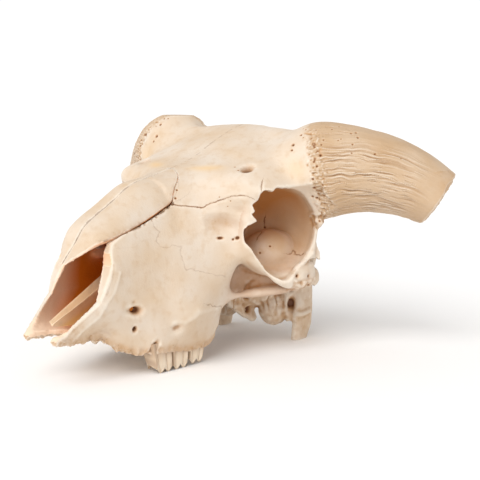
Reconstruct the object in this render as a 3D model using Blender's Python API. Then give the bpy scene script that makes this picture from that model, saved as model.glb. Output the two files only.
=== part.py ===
"""Skull of a horned domestic ram, without lower jaw and premaxillae, at life size.

Metres, +Z up.  The nose points to -Y and the animal's left is +X.  The skull rests on its
molars and on the tips of the two paraoccipital processes, all cut flat at Z = 0.
The shapes below are written in millimetres and turned into metres when a mesh is made.
"""
import math

import bmesh
import bpy
import numpy as np
from mathutils import Matrix, Vector

MM = 0.001

# Suture gap between neighbouring bones, and the size of the steps that the bone is blended in.
SUTURE = 0.3
BLEND_STEP = 1.5
BONE_TRIANGLES = 6000

# Profile curves of the face and the vault: (distance along the skull, value).
ROOF_Z = [(-62, 44), (-46, 63.5), (-38, 72.2), (-30.4, 81.6), (-13.8, 91.7), (6.3, 103),
          (31.2, 108.8), (50.9, 114.6), (72.5, 125.2), (91.3, 132), (101, 133.8),
          (108, 131.6), (116, 123), (124, 109), (130, 95), (134, 82)]
CORNER_X = [(-62, 13), (-46, 14.5), (-31, 16.5), (-17, 17.8), (-1.4, 18.5), (15, 19), (22.5, 23.2),
            (30.7, 29.2), (39.8, 37), (44.2, 42), (51, 48)]
CORNER_Z = [(-62, 40), (-46, 60), (-31, 72), (-17, 78), (-1.4, 83.8), (15, 91.3), (22.5, 90.8),
            (30.7, 89.6), (39.8, 93.5), (51, 94)]
WALL_X = [(-62, 14.8), (-46, 19.2), (-31, 23.4), (-18, 24.4), (0, 26.8), (15, 30), (25, 33),
          (35, 38.5), (42, 44), (51, 48)]
WALL_Z = [(-62, 32), (-46, 48), (-31, 60), (0, 65), (25, 70), (42, 73), (51, 76)]
CHEEK_X = [(-63, 14.4), (-53, 16.8), (-46, 19), (-34, 23.2), (-18, 25.8), (0, 31.5), (12, 36.5),
           (22, 38), (35, 38.5), (42, 41), (51, 45)]
CHEEK_Z = [(-62, 27), (-46, 33), (-34, 41), (-18, 39), (0, 35), (12, 33), (22, 36), (35, 44),
           (42, 52), (51, 66)]
MARGIN_X = [(-63, 14), (-45, 16), (-34, 18.2), (-24, 20.6), (-13, 25.2), (-5, 29.2),
            (5, 31), (33, 31), (41, 32), (45, 34), (51, 40)]
MARGIN_Z = [(-62, 23.6), (-45, 22.3), (-34, 21), (-24, 15.7), (-13, 12.1), (5, 11.3),
            (20, 9.6), (33, 9.8), (37, 12), (41, 20), (45, 32), (51, 62)]
PALATE_X = [(-62, 9), (-40, 11), (-20, 14), (0, 17), (30, 19.5), (51, 24)]
PALATE_Z = [(-62, 25), (-40, 23.5), (-20, 20.5), (0, 19.5), (30, 19.5), (38, 22), (45, 34), (51, 64)]

# Where the bones of the face start and where they meet the orbits.
FACE_FRONT_Y = -63.2
FACE_BACK_Y = 51.0
FACE_STATIONS = 38

# Nasal bones: free edge and suture with the upper jaw.
NASAL_TIP_Y = -46.0
NASAL_BACK_Y = 34.5
NASAL_THICKNESS = 2.8
NASAL_TIP_SHARE = 0.45
NASAL_TIP_LENGTH = 20.0
NASAL_NARROW_SHARE = 0.6
NASAL_STATIONS = 26
NASAL_X = [(-46, 2.6), (-42.7, 5), (-39.8, 8.2), (-36.5, 11.4), (-31.4, 14.3), (-22, 16.4),
           (-11, 17.7), (-1.4, 18.5), (9.6, 19), (16, 19), (21, 17), (27.5, 13.4), (31, 9), (34.5, 3)]
NASAL_EDGE_Z = [(-46, 64), (-42.7, 66), (-39.8, 69.6), (-36.5, 72.6), (-31.4, 74.6), (-22, 76.5),
                (-11, 80.4), (-1.4, 84), (9.6, 88.8), (16, 92), (21, 95.4), (27.5, 99.5),
                (31, 103.6), (34.5, 107.5)]

# Rim of the nasal opening seen from the side, from the tip of the upper jaw to the nasal bone.
OPENING_RIM = [(-63.5, 25.0), (-57, 29.2), (-51.6, 34.2), (-45.6, 39), (-38.6, 44.4),
               (-36, 51), (-33, 57.4), (-30.4, 63), (-29, 69.2), (-26, 74), (-19, 77.6)]

# Slot between the points of the upper jaw where the premaxillae are missing: (x, y) of one side.
NOTCH_SIDE = [(-8.4, -64), (-7.6, -50), (-5, -42), (0, -38.5)]
NOTCH_LOW_Z = 10.0
NOTCH_HIGH_Z = 45.0

# Nasal cavity: half width, floor and roof clearance.
CAVITY_X = [(-66, 9.8), (-50, 13.2), (-40, 17), (-30, 19.2), (-10, 20.5), (12, 20.5), (26, 14)]
CAVITY_FLOOR = [(-66, 27.5), (-40, 27), (0, 26.5), (26, 36)]
CAVITY_ROOF_CLEARANCE = 2.0
CAVITY_SIDE_CLEARANCE = 3.5
CAVITY_FRONT_Y = -66.0
CAVITY_BACK_Y = 26.0
CAVITY_STATIONS = 24

# Opening behind the palate that leads up to the nose: (y, half width, top, bottom).
THROAT = [(30, 8, 30, 25), (38, 10, 36, 18), (50, 10.4, 42, 12), (70, 10.4, 39, 6),
          (92, 10.2, 33, 2), (108, 9, 30, 0)]

# Orbit: centre of the rim, the direction it faces, its radius and its squarer upper front corner.
ORBIT_CENTRE = (57.6, 67.5, 75.0)
ORBIT_YAW = math.radians(14.0)
ORBIT_RADIUS = 24.3
ORBIT_CORNER_GROWTH = 3.4
ORBIT_CORNER_ANGLE = math.radians(122)
ORBIT_CORNER_SPREAD = math.radians(22)
ORBIT_DEPTH = 37.0
ORBIT_WALL = 3.4
ORBIT_BACKSET = 0.1
ORBIT_SIDES = 36

# Orbit sections from the rim inwards: (depth, share of the rim's size, extra radius).
FUNNEL = [(0.0, 1.0, ORBIT_WALL - 0.9), (3.0, 1.01, ORBIT_WALL), (12.0, 1.0, ORBIT_WALL + 0.6),
          (24.0, 0.86, ORBIT_WALL + 1.2), (34.0, 0.66, 4.0), (42.0, 0.4, 4.0)]
HOLLOW = [(-14.0, 1.35, 0), (-1.0, 1.02, 0), (2.0, 1.0, 0), (9.0, 0.99, 0), (18.0, 0.9, 0),
          (26.0, 0.74, 0), (33.0, 0.48, 0), (ORBIT_DEPTH, 0.16, 0)]

# Cheek arch from the front of the orbit to the braincase, and the strut behind the orbit:
# (x, y, z, half height, half thickness) and (x, y, z, half length, half thickness).
ARCH = [(42, 42, 66, 7, 4), (47.5, 49.5, 62, 4.6, 3.6), (52, 56, 55.5, 3.4, 3), (56, 64, 49, 3.8, 3),
        (58.6, 73, 46, 5.6, 3.2), (60.2, 83, 47, 8, 3.4), (60.6, 92, 48.4, 8.6, 3.4),
        (57.4, 98.5, 46, 7.6, 3.6), (51, 104, 43, 6, 4.2), (42, 107.5, 44, 6, 5), (32, 109, 46, 6, 6)]
BAR = [(60.5, 90, 94, 5, 5), (61.6, 94, 84, 4, 3.4), (62, 95.5, 75, 3.6, 3), (61.4, 94, 66, 4, 3),
       (60.6, 92, 57, 5, 3.2)]

# Hollow between the arch and the braincase, open above and below.
TEMPLE = [(44, 97, 86, 8, 7), (46, 98, 70, 8, 7), (47, 98, 56, 7, 7), (48, 97, 40, 7, 7), (49, 96, 22, 8, 8)]

# Shallow dish before the orbit.
TEAR_CENTRE = (46.5, 33.5, 79.5)
TEAR_RADII = (7.5, 10.5, 7.0)

# Brow: the roof between and over the orbits.
BROW_X = [(16, 19), (24, 24), (31, 29.5), (38, 38.5), (43, 47), (48, 53.2), (55, 57.6), (64, 60.6),
          (72, 61.8), (79, 62.2), (86, 60), (93, 56), (100, 50)]
BROW_Z = [(16, 92), (24, 91.5), (31, 91.5), (38, 95), (42, 98), (50, 101), (64, 102.5),
          (72, 103), (79, 105), (86, 114), (93, 129), (100, 130)]
BROW_DEPTH = 22.0
BROW_FRONT_Y = 16.0
BROW_BACK_Y = 100.0
BROW_STATIONS = 30

# Central body from between the orbits to the back of the braincase.
BODY_X = [(30, 16), (45, 21), (60, 21), (75, 25), (88, 31), (98, 35), (108, 36), (118, 33.5),
          (127, 27), (134, 19)]
BODY_FRONT_Y = 30.0
BODY_BACK_Y = 134.0
BODY_STATIONS = 34
BODY_TOP_DROP = [(30, 6), (96, 8), (102, 0.5), (134, 0.5)]
BODY_BOTTOM = [(30, 62), (40, 46), (50, 38), (60, 33), (80, 25), (95, 21), (108, 22), (120, 30),
               (130, 40), (134, 50)]

# Back wall with its crest: (y, crest half width, crest height, half width, height of that width, bottom).
OCCIPUT = [(116, 20, 94, 35, 44, 30), (122, 23, 98, 36, 46, 34), (128, 24, 95, 34.5, 47, 37),
           (133, 21, 86, 29, 50, 41), (136, 13, 74, 19, 54, 46)]

# Knobs and processes of the skull's base, as sections along a path like those of the arch.
CONDYLE = [(9, 128, 36, 7, 6), (15, 133, 39, 9.5, 6.5), (19, 132, 47, 9, 6), (20, 128, 54, 6, 5)]
PARAOCCIPITAL = [(30, 117.5, 46, 10.5, 5.5), (31.6, 117, 34, 10.2, 4.6), (32.6, 116.8, 22, 9.8, 3.8),
                 (33, 116.4, 10, 9, 3.3), (32.6, 115.4, -1.5, 7.8, 3.1)]
EAR_TUBE = [(32, 110, 50, 6, 7), (40, 111.5, 50.5, 4.4, 4.6), (46, 112.6, 50.4, 2.6, 2.2)]
FORAMEN = [(0, 146, 50, 9, 10), (0, 134, 53, 8.6, 9.6), (0, 122, 56, 7, 8)]

# Upright plate beside the throat, as a (y, z) outline, and where it starts and ends across.
PTERYGOID = [(44, 58), (47, 33), (55, 30), (63, 29), (72, 23), (81, 17), (89, 12.5), (94, 11.5),
             (96, 14), (93, 19), (97, 25), (104, 28), (100, 40), (80, 50), (60, 56)]
PTERYGOID_INNER_X = 11.0
PTERYGOID_OUTER_X = 14.6

# Horn core: the sawn stump of a heavy core that leaves the brow sideways and bends down.
HORN_ROOT = (57.7, 98.3, 108.6)
HORN_YAW = 0.57
HORN_RISE = 0.17
HORN_BEND = 0.76
HORN_LENGTH = 74.8
HORN_ROOT_HEIGHT = 30.2
HORN_END_HEIGHT = 17.2
HORN_ROOT_DEPTH = 26.5
HORN_END_DEPTH = 20.3
HORN_PEDICLE_LENGTH = 26.0
HORN_PEDICLE_SINK = 0.42
HORN_PEDICLE_TAPER = 0.25
HORN_CUT_OFFSET = 3.0
HORN_CUT_REACH = 120.0
HORN_SIDES = 28
HORN_STEPS = 24

# Molars: each crown's middle along the row, its length, width, lower end and how far its root
# stands behind its tip.  The right row has lost its first molar and the second is a broken stump.
TEETH_LEFT = [(1.4, 12.6, 11.6, 0.0, -3.6), (13.2, 12.4, 12.2, 0.0, -1.2), (25.6, 11.2, 10.0, 1.0, 0.6)]
TEETH_RIGHT = [(13.2, 12.4, 12.2, 7.0, -1.2), (25.6, 11.2, 10.0, 0.0, 0.6)]
TOOTH_INSET = 1.4
TOOTH_ROOT_Z = 16.5
CUSP_DEPTH = 1.3
TOOTH_SIDES = 12

# Level of the flats that the skull rests on, and limits well outside the skull for wide cutters.
FLOOR_Z = 0.0
CLEAR_SIDE = 150.0
CLEAR_FRONT = -90.0
CLEAR_BACK = 170.0
CLEAR_LOW = -20.0
CLEAR_HIGH = 160.0

# Vomer, a keel in the middle plane given as a (y, z) outline, and the two tympanic bullae.
VOMER_HALF = 1.3
VOMER = [(-53.4, 33.2), (-34, 42.8), (-11.8, 54.2), (8, 63), (25.4, 70), (25.4, 36.4), (10, 28.9),
         (-2, 27.4), (-6, 34), (-14, 48.2), (-34, 39), (-51.6, 30.9)]
BULLA_CENTRE = (20.0, 103.0, 18.5)
BULLA_RADII = (9.0, 15.5, 14.0)

# Regions that the sutures bound, as (along, up) outlines seen from the side, and how near to the
# middle plane the paired ones reach.
LACRIMAL_INNER_X = 16.5
ZYGOMATIC_INNER_X = 32.0
TEMPORAL_INNER_X = 37.5
MAXILLA_SIDE = [(-75, 2), (46, 2), (46, 33), (38, 37), (27, 37), (24, 42), (26, 54), (22, 66),
                (10, 74), (6, 84), (7, 150), (-75, 150)]
LACRIMAL_SIDE = [(6, 84), (15, 91.3), (22.5, 90.4), (30.7, 89.2), (35, 92.2), (40, 94.6), (46, 96),
                 (53, 94), (58, 86), (54, 77), (49, 72), (40, 66), (30, 63), (22, 66), (10, 74)]
ZYGOMATIC_SIDE = [(22, 66), (30, 63), (40, 66), (49, 72), (54, 66), (64, 60), (78, 60), (88, 64),
                  (99, 64), (103.5, 58), (103.5, 33), (78, 30), (56, 38), (46, 42), (46, 33),
                  (38, 37), (27, 37), (24, 42), (26, 54)]
TEMPORAL_SIDE = [(103.5, 60), (103.5, 33), (120, 33), (120, 60)]
FRONTAL_SIDE = [(7, 150), (6, 84), (15, 91.3), (22.5, 90.4), (30.7, 89.2), (35, 92.2), (40, 94.6),
                (46, 96), (53, 94), (58, 86), (66, 78), (80, 68), (88, 64), (99, 64), (101, 76),
                (101.5, 150)]
PARIETAL_SIDE = [(101.5, 150), (101, 76), (99, 64), (104, 60), (119, 60), (125, 90), (128, 112),
                 (128, 150)]
OCCIPITAL_SIDE = [(128, 112), (125, 90), (119, 60), (104, 60), (104, -8), (160, -8), (160, 112)]
ETHMOID_SIDE = [(-75, -8), (37, -8), (37, 150), (-75, 150)]

# Looks and shading of the plain model.
IVORY = (0.80, 0.70, 0.57)
CORE_TAN = (0.66, 0.54, 0.40)
BONE_ROUGHNESS = 0.62
CORE_ROUGHNESS = 0.8
SHARP_ANGLE = math.radians(40)


def curve(knots):
    """Smooth value along a list of (place, value) knots, with no overshoot."""
    places = np.array([knot[0] for knot in knots], float)
    values = np.array([knot[1] for knot in knots], float)
    rises = np.diff(values) / np.diff(places)
    slopes = np.zeros(len(places))
    slopes[0] = rises[0]
    slopes[-1] = rises[-1]
    for i in range(1, len(places) - 1):
        if rises[i - 1] * rises[i] > 0:
            slopes[i] = 2 * rises[i - 1] * rises[i] / (rises[i - 1] + rises[i])

    def value(place):
        place = min(max(place, places[0]), places[-1])
        i = min(int(np.searchsorted(places, place, side="right")) - 1, len(places) - 2)
        step = places[i + 1] - places[i]
        t = (place - places[i]) / step
        return (values[i] * (1 + 2 * t) * (1 - t) ** 2 + values[i + 1] * t * t * (3 - 2 * t)
                + step * (slopes[i] * t * (1 - t) ** 2 - slopes[i + 1] * t * t * (1 - t)))

    return value


roof_z = curve(ROOF_Z)
nasal_x = curve(NASAL_X)
nasal_edge_z = curve(NASAL_EDGE_Z)
corner_x = curve(CORNER_X)


def steps(first, last, count):
    return [first + (last - first) * i / (count - 1) for i in range(count)]


def new_object(name, mesh):
    obj = bpy.data.objects.new(name, mesh)
    bpy.context.scene.collection.objects.link(obj)
    return obj


def mesh_from(name, points, faces):
    """Closed mesh from points in millimetres, with its faces turned outwards."""
    mesh = bpy.data.meshes.new(name)
    mesh.from_pydata([tuple(c * MM for c in p) for p in points], [], faces)
    bm = bmesh.new()
    bm.from_mesh(mesh)
    bmesh.ops.triangulate(bm, faces=[f for f in bm.faces if len(f.verts) > 4])
    bmesh.ops.recalc_face_normals(bm, faces=bm.faces)
    if bm.calc_volume(signed=True) < 0:
        bmesh.ops.reverse_faces(bm, faces=bm.faces)
    bm.to_mesh(mesh)
    bm.free()
    return new_object(name, mesh)


def loft(name, rings):
    """Skin over a row of rings with the same number of points each, closed at both ends."""
    count = len(rings[0])
    points = [p for ring in rings for p in ring]
    faces = []
    for r in range(len(rings) - 1):
        for i in range(count):
            j = (i + 1) % count
            a = r * count
            b = a + count
            faces.append((a + i, a + j, b + j, b + i))
    faces.append(tuple(reversed(range(count))))
    last = (len(rings) - 1) * count
    faces.append(tuple(range(last, last + count)))
    return mesh_from(name, points, faces)


def closed_spline(points, per_span):
    """Points on a round curve through a closed chain of control points."""
    pts = [np.array(p, float) for p in points]
    n = len(pts)
    out = []
    for i in range(n):
        a, b, c, d = pts[i - 1], pts[i], pts[(i + 1) % n], pts[(i + 2) % n]
        for k in range(per_span):
            t = k / per_span
            out.append(0.5 * (2 * b + (c - a) * t + (2 * a - 5 * b + 4 * c - d) * t * t
                              + (3 * b - a - 3 * c + d) * t ** 3))
    return out


def mirrored_section(half, y, per_span=3):
    """Whole cross-section from the half on +X, listed from the top middle to the bottom middle."""
    other = [(-x, z) for x, z in reversed(half[1:-1])]
    return [(p[0], y, p[1]) for p in closed_spline(half + other, per_span)]


def sweep(name, path, heights, depths, sides):
    """Tube of oval section along a path; the section's height is kept as upright as it can be."""
    rings = []
    path = [Vector(p) for p in path]
    for i, point in enumerate(path):
        ahead = path[min(i + 1, len(path) - 1)] - path[max(i - 1, 0)]
        ahead.normalize()
        side = Vector((0, 0, 1)).cross(ahead)
        if side.length < 0.05:
            side = Vector((1, 0, 0))
        side.normalize()
        up = ahead.cross(side)
        ring = []
        for k in range(sides):
            a = 2 * math.pi * k / sides
            ring.append(tuple(point + up * (heights[i] * math.sin(a)) + side * (depths[i] * math.cos(a))))
        rings.append(ring)
    return loft(name, rings)


def curve_path(knots, count):
    """Points at even steps on the smooth path through a few places; also any radii that follow."""
    tracks = [curve([(i, knot[k]) for i, knot in enumerate(knots)]) for k in range(len(knots[0]))]
    return [[track(t) for track in tracks] for t in steps(0, len(knots) - 1, count)]


def routed(name, knots, count, sides):
    """Sweep along knots of (x, y, z, half height, half depth)."""
    rows = curve_path(knots, count)
    return sweep(name, [r[:3] for r in rows], [r[3] for r in rows], [r[4] for r in rows], sides)


def ball(name, centre, radii, rings, sides):
    """Egg-shaped swelling with its long axis along Y."""
    rows = []
    for i in range(1, rings):
        a = math.pi * i / rings
        y = centre[1] - radii[1] * math.cos(a)
        r = math.sin(a)
        rows.append([(centre[0] + radii[0] * r * math.cos(2 * math.pi * k / sides), y,
                      centre[2] + radii[2] * r * math.sin(2 * math.pi * k / sides))
                     for k in range(sides)])
    return loft(name, rows)


def prism(name, outline, x_from, x_to):
    """Side outline of (y, z) points pulled across from one X to another."""
    near = [(x_from, y, z) for y, z in outline]
    far = [(x_to, y, z) for y, z in outline]
    return loft(name, [near, far])


def face_rings(first, last, count):
    lines = [curve(k) for k in (CORNER_X, CORNER_Z, WALL_X, WALL_Z, CHEEK_X, CHEEK_Z, MARGIN_X,
                                MARGIN_Z, PALATE_X, PALATE_Z)]
    rings = []
    for y in steps(first, last, count):
        cx, cz, wx, wz, kx, kz, mx, mz, px, pz = [line(y) for line in lines]
        top = roof_z(y)
        half = [(0, top), (cx * 0.6, top - (top - cz) * 0.3), (cx, cz), (wx, wz), (kx, kz),
                (mx, mz + 1.5), (mx - 3, mz), (px + 1, mz + 2), (px - 3, pz), (0, pz)]
        rings.append(mirrored_section(half, y))
    return rings


def face():
    return loft("face", face_rings(FACE_FRONT_Y, FACE_BACK_Y, FACE_STATIONS))


def brow():
    width = curve(BROW_X)
    edge = curve(BROW_Z)
    rings = []
    for y in steps(BROW_FRONT_Y, BROW_BACK_Y, BROW_STATIONS):
        top = roof_z(y) + 0.2
        w = width(y)
        e = edge(y)
        drop = top - e
        half = [(0, top), (w * 0.45, top - drop * 0.12), (w * 0.8, top - drop * 0.46), (w, e - 1.5),
                (w - 2, e - 7), (w * 0.6, e - BROW_DEPTH * 0.55), (0, top - BROW_DEPTH - 8)]
        rings.append(mirrored_section(half, y))
    return loft("brow", rings)


def body():
    width = curve(BODY_X)
    drop = curve(BODY_TOP_DROP)
    bottom = curve(BODY_BOTTOM)
    rings = []
    for y in steps(BODY_FRONT_Y, BODY_BACK_Y, BODY_STATIONS):
        top = roof_z(y) - drop(y)
        low = bottom(y)
        w = width(y)
        middle = low + (top - low) * 0.5
        half = [(0, top), (w * 0.55, top - (top - middle) * 0.13), (w * 0.9, middle + (top - middle) * 0.46),
                (w, middle - 4), (w * 0.82, low + (middle - low) * 0.3), (w * 0.54, low + 1), (0, low)]
        rings.append(mirrored_section(half, y))
    return loft("body", rings)


def orbit_ring(depth, grow, shift):
    """Outline of the orbit at a depth below the rim, drawn larger or smaller about its middle."""
    centre = Vector(ORBIT_CENTRE)
    out = Vector((math.cos(ORBIT_YAW), -math.sin(ORBIT_YAW), 0))
    back = Vector((math.sin(ORBIT_YAW), math.cos(ORBIT_YAW), 0))
    up = Vector((0, 0, 1))
    ring = []
    for k in range(ORBIT_SIDES):
        a = 2 * math.pi * k / ORBIT_SIDES
        corner = math.exp(-((a - ORBIT_CORNER_ANGLE) / ORBIT_CORNER_SPREAD) ** 2)
        radius = (ORBIT_RADIUS + ORBIT_CORNER_GROWTH * corner) * grow + shift
        ring.append(tuple(centre - out * depth + back * (radius * math.cos(a) + ORBIT_BACKSET * depth)
                          + up * radius * math.sin(a)))
    return ring


def orbit_funnel():
    """Bone round the orbit, from the rim down to the body."""
    return loft("funnel", [orbit_ring(*section) for section in FUNNEL])


def orbit_hollow():
    return loft("orbit_hollow", [orbit_ring(*section) for section in HOLLOW])


def zygomatic_arch():
    """Lower rim of the orbit, the plate behind it and the arch back to the braincase."""
    return routed("arch", ARCH, 26, 18)


def upright(name, knots, count, sides):
    """Column of level oval sections along knots of (x, y, z, half length, half thickness)."""
    rings = []
    for x, y, z, along, across in curve_path(knots, count):
        rings.append([(x + across * math.cos(2 * math.pi * k / sides),
                       y + along * math.sin(2 * math.pi * k / sides), z) for k in range(sides)])
    return loft(name, rings)


def postorbital_bar():
    """Strut behind the orbit from the brow to the plate of the cheek bone."""
    return upright("bar", BAR, 12, 14)


def horn_frame(length_share):
    """Place, heading and section of the horn core at a share of its length."""
    place = Vector(HORN_ROOT)
    heading = None
    for i in range(HORN_STEPS + 1):
        t = length_share * i / HORN_STEPS
        rise = HORN_RISE - HORN_BEND * t
        heading = Vector((math.cos(rise) * math.cos(HORN_YAW), math.cos(rise) * math.sin(HORN_YAW),
                          math.sin(rise)))
        if i:
            place = place + heading * (HORN_LENGTH * length_share / HORN_STEPS)
    height = HORN_ROOT_HEIGHT + (HORN_END_HEIGHT - HORN_ROOT_HEIGHT) * length_share
    depth = HORN_ROOT_DEPTH + (HORN_END_DEPTH - HORN_ROOT_DEPTH) * length_share
    return place, heading, height, depth


def horn_ring(place, heading, height, depth):
    side = Vector((0, 0, 1)).cross(heading).normalized()
    up = heading.cross(side)
    turns = [2 * math.pi * k / HORN_SIDES for k in range(HORN_SIDES)]
    return [tuple(place + up * (height * math.sin(a)) + side * (depth * math.cos(a))) for a in turns]


def horn():
    """Horn core from inside the brow to its sawn end."""
    rings = []
    root, heading, height, depth = horn_frame(0.0)
    for t in (1.0, 0.66, 0.33):
        rings.append(horn_ring(root - heading * (HORN_PEDICLE_LENGTH * t), heading,
                               height * (1 - HORN_PEDICLE_SINK * t), depth * (1 - HORN_PEDICLE_TAPER * t)))
    for t in steps(0.0, 1.0, 14):
        rings.append(horn_ring(*horn_frame(t)))
    return loft("horn", rings)


def occiput():
    """Back wall of the skull with its crest across the top."""
    rings = []
    for y, top_x, top_z, wide_x, wide_z, low_z in OCCIPUT:
        half = [(0, top_z), (top_x, top_z - 4), (wide_x * 0.98, wide_z + 18), (wide_x, wide_z),
                (wide_x * 0.6, low_z + 1), (0, low_z)]
        rings.append(mirrored_section(half, y))
    return loft("occiput", rings)


def condyle():
    """Half of the joint for the neck, beside the foramen magnum."""
    return routed("condyle", CONDYLE, 12, 14)


def paraoccipital():
    """Flat process that hangs down beside the condyle and stands on the floor."""
    return upright("paraoccipital", PARAOCCIPITAL, 14, 16)


def ear_tube():
    """Short bony tube of the ear, seen behind the arch."""
    return routed("ear_tube", EAR_TUBE, 8, 14)


def pterygoid():
    """Upright plate beside the throat, ending in a short hook."""
    return prism("pterygoid", PTERYGOID, PTERYGOID_INNER_X, PTERYGOID_OUTER_X)


def mirror_copy(obj):
    """The same shape on the other side of the middle plane."""
    mesh = obj.data.copy()
    for v in mesh.vertices:
        v.co.x = -v.co.x
    bm = bmesh.new()
    bm.from_mesh(mesh)
    bmesh.ops.reverse_faces(bm, faces=bm.faces)
    bm.to_mesh(mesh)
    bm.free()
    return new_object(obj.name + "_mirrored", mesh)


def evaluate(obj):
    """Put the modifiers' result into the object's own mesh."""
    graph = bpy.context.evaluated_depsgraph_get()
    mesh = bpy.data.meshes.new_from_object(obj.evaluated_get(graph))
    obj.modifiers.clear()
    obj.data = mesh


def remove(obj):
    bpy.data.objects.remove(obj, do_unlink=True)


def combine(obj, others, operation):
    """Boolean of an object with several others, which are used up."""
    group = bpy.data.collections.new("operands")
    bpy.context.scene.collection.children.link(group)
    for other in others:
        group.objects.link(other)
    boolean = obj.modifiers.new(operation.lower(), "BOOLEAN")
    boolean.operation = operation
    boolean.operand_type = "COLLECTION"
    boolean.collection = group
    evaluate(obj)
    for other in others:
        remove(other)
    bpy.data.collections.remove(group)


def cut_one(obj, cutter, operation):
    """Boolean of an object with one other, which is used up; this solver leaves closed surfaces closed."""
    boolean = obj.modifiers.new(operation.lower(), "BOOLEAN")
    boolean.operation = operation
    boolean.solver = "MANIFOLD"
    boolean.object = cutter
    evaluate(obj)
    remove(cutter)


def keep_largest(obj):
    """Drop every closed surface of a mesh but the largest."""
    bm = bmesh.new()
    bm.from_mesh(obj.data)
    bmesh.ops.triangulate(bm, faces=bm.faces)
    bm.verts.ensure_lookup_table()
    seen = set()
    groups = []
    for start in bm.verts:
        if start.index in seen:
            continue
        stack = [start]
        seen.add(start.index)
        group = []
        while stack:
            v = stack.pop()
            group.append(v)
            for e in v.link_edges:
                w = e.other_vert(v)
                if w.index not in seen:
                    seen.add(w.index)
                    stack.append(w)
        groups.append(group)
    groups.sort(key=len, reverse=True)
    if len(groups) > 1:
        bmesh.ops.delete(bm, geom=[v for g in groups[1:] for v in g], context="VERTS")
    bm.to_mesh(obj.data)
    bm.free()


def blend(obj):
    """Melt the joined forms into one skin with soft seams."""
    remesh = obj.modifiers.new("remesh", "REMESH")
    remesh.mode = "VOXEL"
    remesh.voxel_size = BLEND_STEP * MM
    smooth = obj.modifiers.new("smooth", "SMOOTH")
    smooth.factor = 0.5
    smooth.iterations = 3
    evaluate(obj)
    keep_largest(obj)


def thin_out(obj, triangles):
    count = sum(len(p.vertices) - 2 for p in obj.data.polygons)
    decimate = obj.modifiers.new("decimate", "DECIMATE")
    decimate.ratio = min(1.0, triangles / count)
    decimate.use_collapse_triangulate = True
    evaluate(obj)


def join(name, objects):
    """One object out of several that overlap, as separate closed surfaces."""
    bm = bmesh.new()
    for obj in objects:
        bm.from_mesh(obj.data)
        remove(obj)
    mesh = bpy.data.meshes.new(name)
    bm.to_mesh(mesh)
    bm.free()
    return new_object(name, mesh)


def both_sides(obj):
    return [obj, mirror_copy(obj)]


def nasal_cavity():
    width = curve(CAVITY_X)
    floor = curve(CAVITY_FLOOR)
    rings = []
    for y in steps(CAVITY_FRONT_Y, CAVITY_BACK_Y, CAVITY_STATIONS):
        top = roof_z(y) - CAVITY_ROOF_CLEARANCE
        low = floor(y)
        w = width(y)
        tall = top - low
        corner = min(w, corner_x(y) - CAVITY_SIDE_CLEARANCE)
        half = [(0, top), (corner * 0.75, top - tall * 0.1), (corner * 1.02, top - tall * 0.3),
                (w, low + tall * 0.3), (w * 0.8, low + 1), (0, low)]
        rings.append(mirrored_section(half, y))
    return loft("cavity", rings)


def front_opening():
    """Everything before the rim of the nasal opening and under the nasal bones."""
    last_y, last_z = OPENING_RIM[-1]
    over = [(last_y + 4, last_z + 1.4), (last_y + 4, CLEAR_HIGH), (CLEAR_FRONT, CLEAR_HIGH)]
    outline = [(CLEAR_FRONT, OPENING_RIM[0][1] - 0.6)] + OPENING_RIM + over
    return prism("opening", outline, -CLEAR_SIDE, CLEAR_SIDE)


def palate_notch():
    """Gap between the points of the upper jaw where the premaxillae are missing."""
    right = [(-x, y) for x, y in reversed(NOTCH_SIDE[:-1])]
    rings = [[(x, y, z) for x, y in NOTCH_SIDE + right] for z in (NOTCH_LOW_Z, NOTCH_HIGH_Z)]
    return loft("notch", rings)


def throat():
    """Opening behind the palate that leads up to the nose."""
    rings = []
    for y, w, top, low in THROAT:
        half = [(0, top), (w * 0.8, top - 3), (w, (top + low) / 2), (w, low), (0, low - 1)]
        rings.append(mirrored_section(half, y))
    return loft("throat", rings)


def foramen_magnum():
    return routed("foramen", FORAMEN, 6, 18)


def temple():
    """Hollow between the arch and the braincase, open above and below."""
    return upright("temple", TEMPLE, 12, 16)


def tear_hollow():
    """Shallow dish in front of the orbit."""
    return ball("tear_hollow", TEAR_CENTRE, TEAR_RADII, 12, 18)


def nasal_arch(y, first, last, depth, count):
    """Points across the arch of the nasal bones, at a depth below their outer face."""
    top = roof_z(y)
    half = nasal_x(y)
    fall = top - nasal_edge_z(y)
    points = []
    for x in steps(first, last, count):
        share = abs(x) / half
        slope = -math.copysign(2.2 * fall / half * share ** 1.2, x)
        size = math.sqrt(1 + slope * slope)
        points.append((x + depth * slope / size, y, top - fall * share ** 2.2 - depth / size))
    return points


def nasal_depth(y):
    """Thickness of the nasal bone: it thins towards its point and towards the brow."""
    return min(NASAL_THICKNESS * min(1.0, NASAL_TIP_SHARE + (y - NASAL_TIP_Y) / NASAL_TIP_LENGTH),
               nasal_x(y) * NASAL_NARROW_SHARE)


def nasal_bone():
    rings = []
    for y in steps(NASAL_TIP_Y, NASAL_BACK_Y, NASAL_STATIONS):
        depth = nasal_depth(y)
        outer = nasal_arch(y, SUTURE / 2, nasal_x(y), 0.0, 8)
        under = nasal_arch(y, SUTURE / 2, nasal_x(y), depth, 8)
        rings.append(outer + list(reversed(under)))
    return loft("nasal", rings)


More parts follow.
